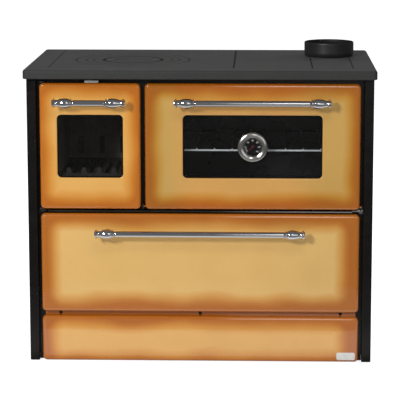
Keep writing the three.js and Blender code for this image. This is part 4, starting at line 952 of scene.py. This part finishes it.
COLLAR_BORE, SPIGOT_RADIUS = 0.0645, 0.0685
foot, rim = HOB_TOP + SEAT_GAP, 0.8933
collar_section = np.concatenate([
    eased([[COLLAR_BORE, foot], [COLLAR_BORE, PLATE_UNDERSIDE], [SPIGOT_RADIUS, PLATE_UNDERSIDE],
           [SPIGOT_RADIUS, foot], [0.07, foot], [0.0706, foot + 0.002]],
          [0, 0.0006, 0.0006, 0.0004, 0.0006, 0], steps=3),
    flowing([[0.0706, foot + 0.002], [0.0718, foot + 0.0045], [0.0729, foot + 0.008], [COLLAR_RADIUS, foot + 0.0125],
             [COLLAR_RADIUS, foot + 0.014]], 4)[1:],
    eased([[COLLAR_RADIUS, foot + 0.014], [COLLAR_RADIUS, rim - 0.0035], [0.0728, rim], [0.0695, rim],
           [COLLAR_BORE, foot]], [0, 0.004, 0.0014, 0.0014, 0], steps=5)[1:],
])
collar_shell = Shell()
turned(collar_shell, collar_section, (*COLLAR_CENTRE, 0.0), "z", 112)
made("flue_collar_casting", collar_shell, collar_iron, "cast_iron", "cabinet", ["flue_collar"])


# Columns: the folded side sheets, seen from the front as two black uprights


COLUMN_LEVELS = (0.002, 0.8417)
COLUMN_OUTSIDE, COLUMN_INSIDE, COLUMN_LIP = 0.491, 0.464, 0.476
COLUMN_FRONT, COLUMN_TURNED_END, SHEET_BACK = -0.23635, -0.21435, 0.28165
fold = eased([
    [COLUMN_OUTSIDE, SHEET_BACK], [COLUMN_OUTSIDE, COLUMN_FRONT], [COLUMN_INSIDE, COLUMN_FRONT],
    [COLUMN_INSIDE, COLUMN_TURNED_END], [COLUMN_INSIDE + SHEET, COLUMN_TURNED_END],
    [COLUMN_INSIDE + SHEET, COLUMN_FRONT + SHEET], [COLUMN_OUTSIDE - SHEET, COLUMN_FRONT + SHEET],
    [COLUMN_OUTSIDE - SHEET, SHEET_BACK - SHEET], [COLUMN_LIP, SHEET_BACK - SHEET], [COLUMN_LIP, SHEET_BACK],
], [0.0025, 0.003, 0.003, 0.0006, 0.0006, 0.0012, 0.0012, 0.0006, 0.0006, 0.0006], steps=4, closed=True)
for side, word in ((-1, "left"), (1, "right")):
    shell = Shell()
    shell.slab(fold * [side, 1], COLUMN_LEVELS, "z")
    made(f"side_sheet_{word}", shell, cabinet_black, "black_enamel", "cabinet", [f"side_panel_{word}"])


# Oven rack: thick wires round it and across its middle, thin ones from front to back on top of them


RACK_X = (-0.07855, 0.41205)
RACK_Y = (-0.20005, 0.18595)
RACK_Z = 0.6119
THICK, THIN, WELD = 0.0026, 0.0018, 0.0006
THIN_COUNT, THIN_PITCH = 10, 0.0507
rack_shell = Shell()
for place in RACK_X:
    bar(rack_shell, (place, RACK_Y[0], RACK_Z), (place, RACK_Y[1], RACK_Z), THICK, 14)
for place in (RACK_Y[0] + THICK, RACK_Y[1] - THICK, sum(RACK_Y) / 2):
    bar(rack_shell, (RACK_X[0], place, RACK_Z), (RACK_X[1], place, RACK_Z), THICK, 14)
level = RACK_Z + THICK + THIN - WELD
for place in sum(RACK_X) / 2 + (np.arange(THIN_COUNT) - (THIN_COUNT - 1) / 2) * THIN_PITCH:
    bar(rack_shell, (place, RACK_Y[0] + THICK, level), (place, RACK_Y[1] - THICK, level), THIN, 12)
made("oven_rack_wires", rack_shell, rack_wire, "steel", "cabinet", ["oven_rack"])


# Door seals: a rope laid round each door's opening


SEAL_Y = (-0.22105, -0.21765)
ROPE_HALF_WIDTH, ROPE_HALF_DEPTH = 0.0039, 0.0016
ROPE_STEP, TWIST_LENGTH, STRAND_GROOVE = 0.0025, 0.012, 0.14


def rope_ring(word, x, z):
    """A flattened rope carried round a rounded rectangle. Its section is an ellipse whose radius swells
    three times round, and the swell turns as it goes along, as twisted strands do."""
    centre = rounded_rectangle(x, z, 0.016, 0.004, 10)
    step = np.linalg.norm(np.roll(centre, -1, axis=0) - centre, axis=1)
    reach = np.concatenate([[0], np.cumsum(step)])
    total = reach[-1]
    at = np.linspace(0, total, int(total / ROPE_STEP), endpoint=False)
    ring = np.concatenate([centre, centre[:1]])
    path = np.stack([np.interp(at, reach, ring[:, i]) for i in range(2)], axis=1)
    run = np.roll(path, -1, axis=0) - np.roll(path, 1, axis=0)
    run /= np.linalg.norm(run, axis=1)[:, None]
    across = np.stack([run[:, 1], -run[:, 0]], axis=1)
    turn = np.linspace(0, 2 * np.pi, 18, endpoint=False)[None]
    phase = 2 * np.pi * round(total / TWIST_LENGTH) * at[:, None] / total
    swell = 1 - STRAND_GROOVE * (0.5 - 0.5 * np.cos(3 * turn + phase))
    wide = ROPE_HALF_WIDTH * swell * np.cos(turn)
    deep = ROPE_HALF_DEPTH * swell * np.sin(turn)
    u, v = (path[:, i][:, None] + across[:, i][:, None] * wide for i in range(2))
    shell = Shell()
    shell.grid(placed(u, v, sum(SEAL_Y) / 2 + deep, "y"), closed=True)
    made(f"{word}_rope", shell, seal_rope, "rope", word, [f"{word}_seal"], crease=80)


rope_ring("fire_door", (-0.4465, -0.176), (0.449, 0.806))
rope_ring("oven_door", (-0.0935, 0.427), (0.461, 0.8))


# Thermometer


GAUGE_AXIS = (GAUGE[0], 0.0, GAUGE[1])
CASE_BACK = -0.23335
DIAL_RADIUS, CASE_RADIUS, REBATE_RADIUS, STEM_RADIUS, NUT_RADIUS = 0.026, 0.0435, 0.0275, 0.008, 0.014
NUT_Y, STEM_END = (-0.22875, -0.22375), -0.2148


def ahead_of_case(points):
    """Radius and distance in front of the case's back, as radius and Y."""
    return np.array(points) * [1, -1] + [0, CASE_BACK]


case_section = np.concatenate([
    eased(ahead_of_case([[0, 0.003], [DIAL_RADIUS, 0.003], [DIAL_RADIUS, 0.007], [REBATE_RADIUS, 0.007],
                         [REBATE_RADIUS, 0.0094]]),
          [0, 0.0002, 0.0002, 0.0002, 0], steps=3, support=0.0001),
    flowing(ahead_of_case([
        [REBATE_RADIUS, 0.0094], [0.0280, 0.0101], [0.0300, 0.0108], [0.0318, 0.0114], [0.0331, 0.0118],
        [0.0342, 0.0119], [0.0358, 0.0116], [0.0380, 0.0109], [0.0402, 0.0100], [0.0419, 0.0087],
        [0.0430, 0.0062], [CASE_RADIUS, 0.0030], [CASE_RADIUS, 0.0015]]), steps=4)[1:],
    eased([[CASE_RADIUS, CASE_BACK - 0.0015], [CASE_RADIUS, CASE_BACK], [STEM_RADIUS, CASE_BACK],
           [STEM_RADIUS, NUT_Y[0]], [NUT_RADIUS, NUT_Y[0]], [NUT_RADIUS, NUT_Y[1]], [STEM_RADIUS, NUT_Y[1]],
           [STEM_RADIUS, STEM_END], [0, STEM_END]],
          [0, 0.0004, 0.0003, 0.0003, 0.0006, 0.0006, 0.0003, 0.001, 0], steps=3)[1:],
])
case_shell = Shell()
turned(case_shell, case_section, GAUGE_AXIS, "y", 96)
made("thermometer_bezel", case_shell, bezel_chrome, "chrome", "oven_door", ["thermometer_case"], crease=50)

for name, radius, front, back, rounds, finish, slot, node in (
        ("thermometer_face", 0.0254, -0.23745, -0.23665, (0.0002, 0.0002), dial_black, "dial", "thermometer_dial"),
        ("thermometer_window", 0.0268, -0.24205, -0.24065, (0.0005, 0.0003), gauge_glass, "glass", "thermometer_lens")):
    shell = Shell()
    turned(shell, eased([[0, front], [radius, front], [radius, back], [0, back]], [0, *rounds, 0]), GAUGE_AXIS, "y", 72)
    made(name, shell, finish, slot, "oven_door", [node])

PRINT_Y, PRINT_DEEP = -0.2375, 0.00005
NUMBER_RADIUS, NUMBER_SIZE, NUMBER_WEIGHT = 0.0182, 0.0044, 0.00018


def clockwise(angle):
    """The direction at a clockwise angle from the top, and the one at its side."""
    out = np.array([math.sin(angle), math.cos(angle)])
    return out, np.array([out[1], -out[0]])


def scale_marks(shell, degrees, inner, outer, width):
    """A thin raised block for each angle, measured clockwise from the top."""
    for angle in np.radians(degrees):
        out, side = clockwise(angle)
        side = side * width / 2
        corners = [out * inner - side, out * inner + side, out * outer + side, out * outer - side]
        shell.slab(np.array(GAUGE) + corners, (PRINT_Y - PRINT_DEEP, PRINT_Y + PRINT_DEEP), "y")


marks_shell = Shell()
scale_marks(marks_shell, np.arange(-135, 136, 9), 0.0228, 0.0242, 0.0005)
scale_marks(marks_shell, np.arange(-135, 136, 45), 0.0218, 0.0244, 0.0009)
scale_marks(marks_shell, np.arange(-129, -86, 7), 0.0178, 0.0208, 0.0011)
made("thermometer_scale", marks_shell, print_white, "dial", "oven_door")


def numeral(text, degrees):
    """A number written flat, moved so that its middle lies on the dial at a clockwise angle from the top."""
    curve = bpy.data.curves.new("numeral", "FONT")
    curve.body = text
    curve.size = NUMBER_SIZE
    curve.align_x = "CENTER"
    curve.align_y = "CENTER"
    curve.extrude = PRINT_DEEP
    curve.offset = NUMBER_WEIGHT
    curve.resolution_u = 3
    holder = bpy.data.objects.new("numeral", curve)
    bpy.context.scene.collection.objects.link(holder)
    bpy.context.view_layer.update()
    mesh = bpy.data.meshes.new_from_object(holder)
    points = np.empty(len(mesh.vertices) * 3)
    mesh.vertices.foreach_get("co", points)
    points = points.reshape(-1, 3)
    faces = [tuple(face.vertices) for face in mesh.polygons]
    bpy.data.objects.remove(holder)
    bpy.data.curves.remove(curve)
    bpy.data.meshes.remove(mesh)
    flat = points - (points.min(axis=0) + points.max(axis=0)) / 2
    out, _ = clockwise(math.radians(degrees))
    u, v = (GAUGE[i] + NUMBER_RADIUS * out[i] + flat[:, i] for i in range(2))
    return placed(u, v, PRINT_Y - flat[:, 2], "y"), faces


number_shell = Shell()
for step, degrees in enumerate(range(-45, 136, 45)):
    number_shell.add(*numeral(str(100 + step * 50), degrees))
made("thermometer_numbers", number_shell, print_white, "dial", "oven_door")

NEEDLE_REST, NEEDLE_Y, HUB_RADIUS = -135, (-0.2385, -0.2379), 0.003
needle_shell = Shell()
out, side = clockwise(math.radians(NEEDLE_REST))
spine = flowing([[-0.006, 0.0012], [0.0, 0.0012], [0.012, 0.0009], [0.0196, 0.0003]], 3)
flanks = [np.array(GAUGE) + spine[:, :1] * out + hand * spine[:, 1:] * side for hand in (1, -1)]
needle_shell.slab(np.concatenate([flanks[0], flanks[1][::-1]]), NEEDLE_Y, "y")
hub_section = eased([[0, -0.2393], [HUB_RADIUS, -0.2393], [HUB_RADIUS, -0.2378], [0, -0.2378]],
                    [0, 0.0004, 0.0001, 0])
turned(needle_shell, hub_section, GAUGE_AXIS, "y", 32)
made("thermometer_pointer", needle_shell, pointer_red, "needle", "needle", ["thermometer_needle"])


# Small fastenings and the blank plate


def screw_heads(name, places, level, radius, deep):
    """Domed heads with a crossed slot: each a low arc turned about the screw's own line, proud of the level
    by a depth that is negative where the head looks to the back."""
    shell = Shell()
    dome = eased([[0, -deep], [radius * 0.55, -deep], [radius, -deep * 0.35], [radius, 0], [0, 0]],
                 [0, radius * 0.5, radius * 0.15, 0, 0], steps=4, support=0.0001)
    long, short = radius * 0.55, radius * 0.1
    for x, z in places:
        turned(shell, dome, (x, level, z), "y", 20)
        for along, across in ((long, short), (short, long)):
            slot = four_corners((x - along, x + along), (z - across, z + across))
            shell.slab(slot, (level - deep * 1.06, level - deep * 0.8), "y")
    made(name, shell, screw_black, "dark_steel", "cabinet", crease=45)


screw_heads("plinth_screws", [(x, 0.1405) for x in (-0.403, 0.0, 0.403)], UPSTAND_Y[0], 0.005, 0.003)
screw_heads("column_screws", [(-0.4685, z) for z in (0.814, 0.642, 0.198, 0.025)], COLUMN_FRONT, 0.0022, 0.0016)
screw_heads("back_sheet_screws", [(x, z) for x in (-0.4835, 0.4835) for z in (0.03, 0.23, 0.43, 0.63, 0.815)],
            SHEET_BACK, 0.0036, -0.0016)

BLANK = ((0.392, 0.446), (0.009, 0.031))
BLANK_FRONT, BLANK_BACK = PANEL_FRONT - 0.0011, PANEL_FRONT + 0.0002
blank_shell = Shell()
blank_section = eased([[0.005, BLANK_FRONT], [0, BLANK_FRONT], [0, BLANK_BACK]], [0, 0.0005, 0])
first, last = edge_band(blank_shell, rect_outline(BLANK, 0.006), blank_section, "y")
blank_shell.flat([first], BLANK_FRONT, "y")
blank_shell.flat([last], BLANK_BACK, "y")
made("blank_plate", blank_shell, blank_silver, "steel", "cabinet")


# Finishes of the nodes that keep their own shape


KEPT = {
    frame_black: ["front_frame"],
    back_paint: ["back_panel"],
    hidden_steel: ["base_tray", "smoke_casing", "smoke_baffle", "foot_front_left", "foot_front_right", "foot_rear_left",
                   "foot_rear_right"],
    bracket_steel: ["fire_bracket_top", "fire_bracket_bottom", "oven_bracket_left", "oven_bracket_right",
                    "fire_door_frame", "oven_door_frame"],
    soot_steel: ["firebox_shell", "ash_pan"],
    grate_iron: ["fire_grate"],
    guard_iron: ["log_guard"],
    brick_clay: ["firebrick_left", "firebrick_right", "firebrick_back"],
    oven_enamel: ["oven_box"],
    zinc_sheet: ["drawer_box", "drawer_runner_left", "drawer_runner_right", "fire_door_catch"],
    slider_zinc: ["air_slider"],
    fire_glass: ["fire_door_glass"],
    oven_glass: ["oven_door_glass"],
}
for finish, names in KEPT.items():
    for name in names:
        materials = NODES[name].data.materials
        materials.clear()
        materials.append(finish)


# Studio: camera at the photograph's angle, a pale floor, a white surround, cards for the gloss and four soft lamps


CAMERA_PLACE, YAW, PITCH = (0.17435, -5.32499, 1.4263), 0.02751, 0.16284
FLOOR_LIFT, WORLD_LEVEL = 0.78, 0.36
NEAR_FLOOR = 1.25

camera_data = bpy.data.cameras.new("studio_camera")
camera_data.sensor_width = 36
camera_data.lens = 163.79
camera_data.shift_x = -0.03
camera_data.shift_y = -0.1
camera_data.clip_end = 300
camera = bpy.data.objects.new("studio_camera", camera_data)
camera.location = CAMERA_PLACE
looking = Vector((-math.sin(YAW) * math.cos(PITCH), math.cos(YAW) * math.cos(PITCH), -math.sin(PITCH)))
camera.rotation_mode = "QUATERNION"
camera.rotation_quaternion = looking.to_track_quat("-Z", "Y")
bpy.context.scene.collection.objects.link(camera)
bpy.context.scene.camera = camera


def seen_directly(tree):
    """1 for what the camera sees, by itself or in gloss or glass, and 0 for light that falls on the stove."""
    paths = tree.nodes.new("ShaderNodeLightPath").outputs
    seen, mirrored, through = (Value(tree, paths[f"Is {kind} Ray"]) for kind in ("Camera", "Glossy", "Transmission"))
    return seen.larger(mirrored.larger(through))


floor_mesh = bpy.data.meshes.new("studio_floor")
floor_loop = circle((0, 0), 90.0, 96)
floor_mesh.from_pydata([(x, y, -0.0006) for x, y in floor_loop.tolist()], [], [tuple(range(96))])
floor = bpy.data.objects.new("studio_floor", floor_mesh)
bpy.context.scene.collection.objects.link(floor)
pale_floor = Finish("pale_floor", (0, 0, 0), 0.9, specular=0.0, plain={
    "Base Color": (0.8, 0.8, 0.8, 1), "Emission Color": (1, 1, 1, 1)})
pale_floor.wear("Emission Strength", seen_directly(pale_floor.tree) * FLOOR_LIFT)
floor_mesh.materials.append(pale_floor.material)

world = bpy.data.worlds.new("studio_surround")
bpy.context.scene.world = world
world.use_nodes = True
surround = world.node_tree
background = surround.nodes["Background"]
background.inputs["Color"].default_value = (1, 1, 1, 1)
fed(surround, background.inputs["Strength"], seen_directly(surround).ranged(0.0, 1.0, WORLD_LEVEL, 1.0))


def reflection_card(name, shell, strength):
    """A white surface that only gloss and metal show, lit evenly by itself."""
    mesh = bpy.data.meshes.new(name)
    mesh.from_pydata(np.concatenate(shell.points).tolist(), [], shell.faces)
    card = bpy.data.objects.new(name, mesh)
    bpy.context.scene.collection.objects.link(card)
    for ray in ("camera", "diffuse", "transmission", "volume_scatter", "shadow"):
        setattr(card, "visible_" + ray, False)
    mesh.materials.append(Finish(name, (0, 0, 0), 1.0, specular=0.0, plain={
        "Emission Color": (1, 1, 1, 1), "Emission Strength": strength}).material)


# Dim cloths hang round the studio and lie on the floor away from the stove. Brighter strips lie before it,
# and pale cards stand at the front on the right.
for name, profile, lift, strength in (
        ("studio_cloths", [[NEAR_FLOOR, 0.0], [14.0, 0.0], [14.0, 7.0], [0.0, 7.0]], 0.001, 0.16),
        ("near_floor_sheen", [[0.0, 0.0], [NEAR_FLOOR, 0.0]], 0.0006, 0.36)):
    shell = Shell()
    turned(shell, profile, (0.0, 0.0, lift), "z", 64)
    reflection_card(name, shell, strength)
for name, u, v, along, axis, strength in (
        ("front_strip_sheen", (-1.2, 1.2), (-0.6, -0.3), 0.0012, "z", 0.95),
        ("front_card", (0.02, 3.2), (0.55, 2.3), -4.0, "y", 1.1),
        ("high_card", (0.22, 0.72), (2.25, 2.6), np.array([-4.0, -4.0, -3.85, -3.85]), "y", 5.6)):
    shell = Shell()
    shell.cap(placed(*four_corners(u, v).T, along, axis))
    reflection_card(name, shell, strength)


def soft_lamp(name, place, aim, size, power, in_gloss=True):
    """A flat lamp turned to look from its place at an aim."""
    data = bpy.data.lights.new(name, "AREA")
    data.shape = "RECTANGLE"
    data.size, data.size_y = size
    data.energy = power
    lamp = bpy.data.objects.new(name, data)
    lamp.location = place
    lamp.rotation_mode = "QUATERNION"
    lamp.rotation_quaternion = (Vector(aim) - Vector(place)).to_track_quat("-Z", "Y")
    lamp.visible_glossy = in_gloss
    bpy.context.scene.collection.objects.link(lamp)


soft_lamp("key_softbox", (-1.9, -3.9, 2.2), (0.0, -0.2, 0.5), (0.6, 0.6), 110)
soft_lamp("upper_softbox", (0.4, -2.4, 2.9), (0.1, 0.0, 0.5), (1.1, 0.6), 16, in_gloss=False)
soft_lamp("rear_softbox_right", (3.3, 2.3, 1.9), (0.3, 0.1, 0.45), (1.0, 1.0), 50, in_gloss=False)
soft_lamp("rear_softbox_left", (-3.3, 2.3, 1.9), (-0.3, 0.1, 0.45), (1.0, 1.0), 50, in_gloss=False)

bpy.context.scene.view_settings.view_transform = "Standard"
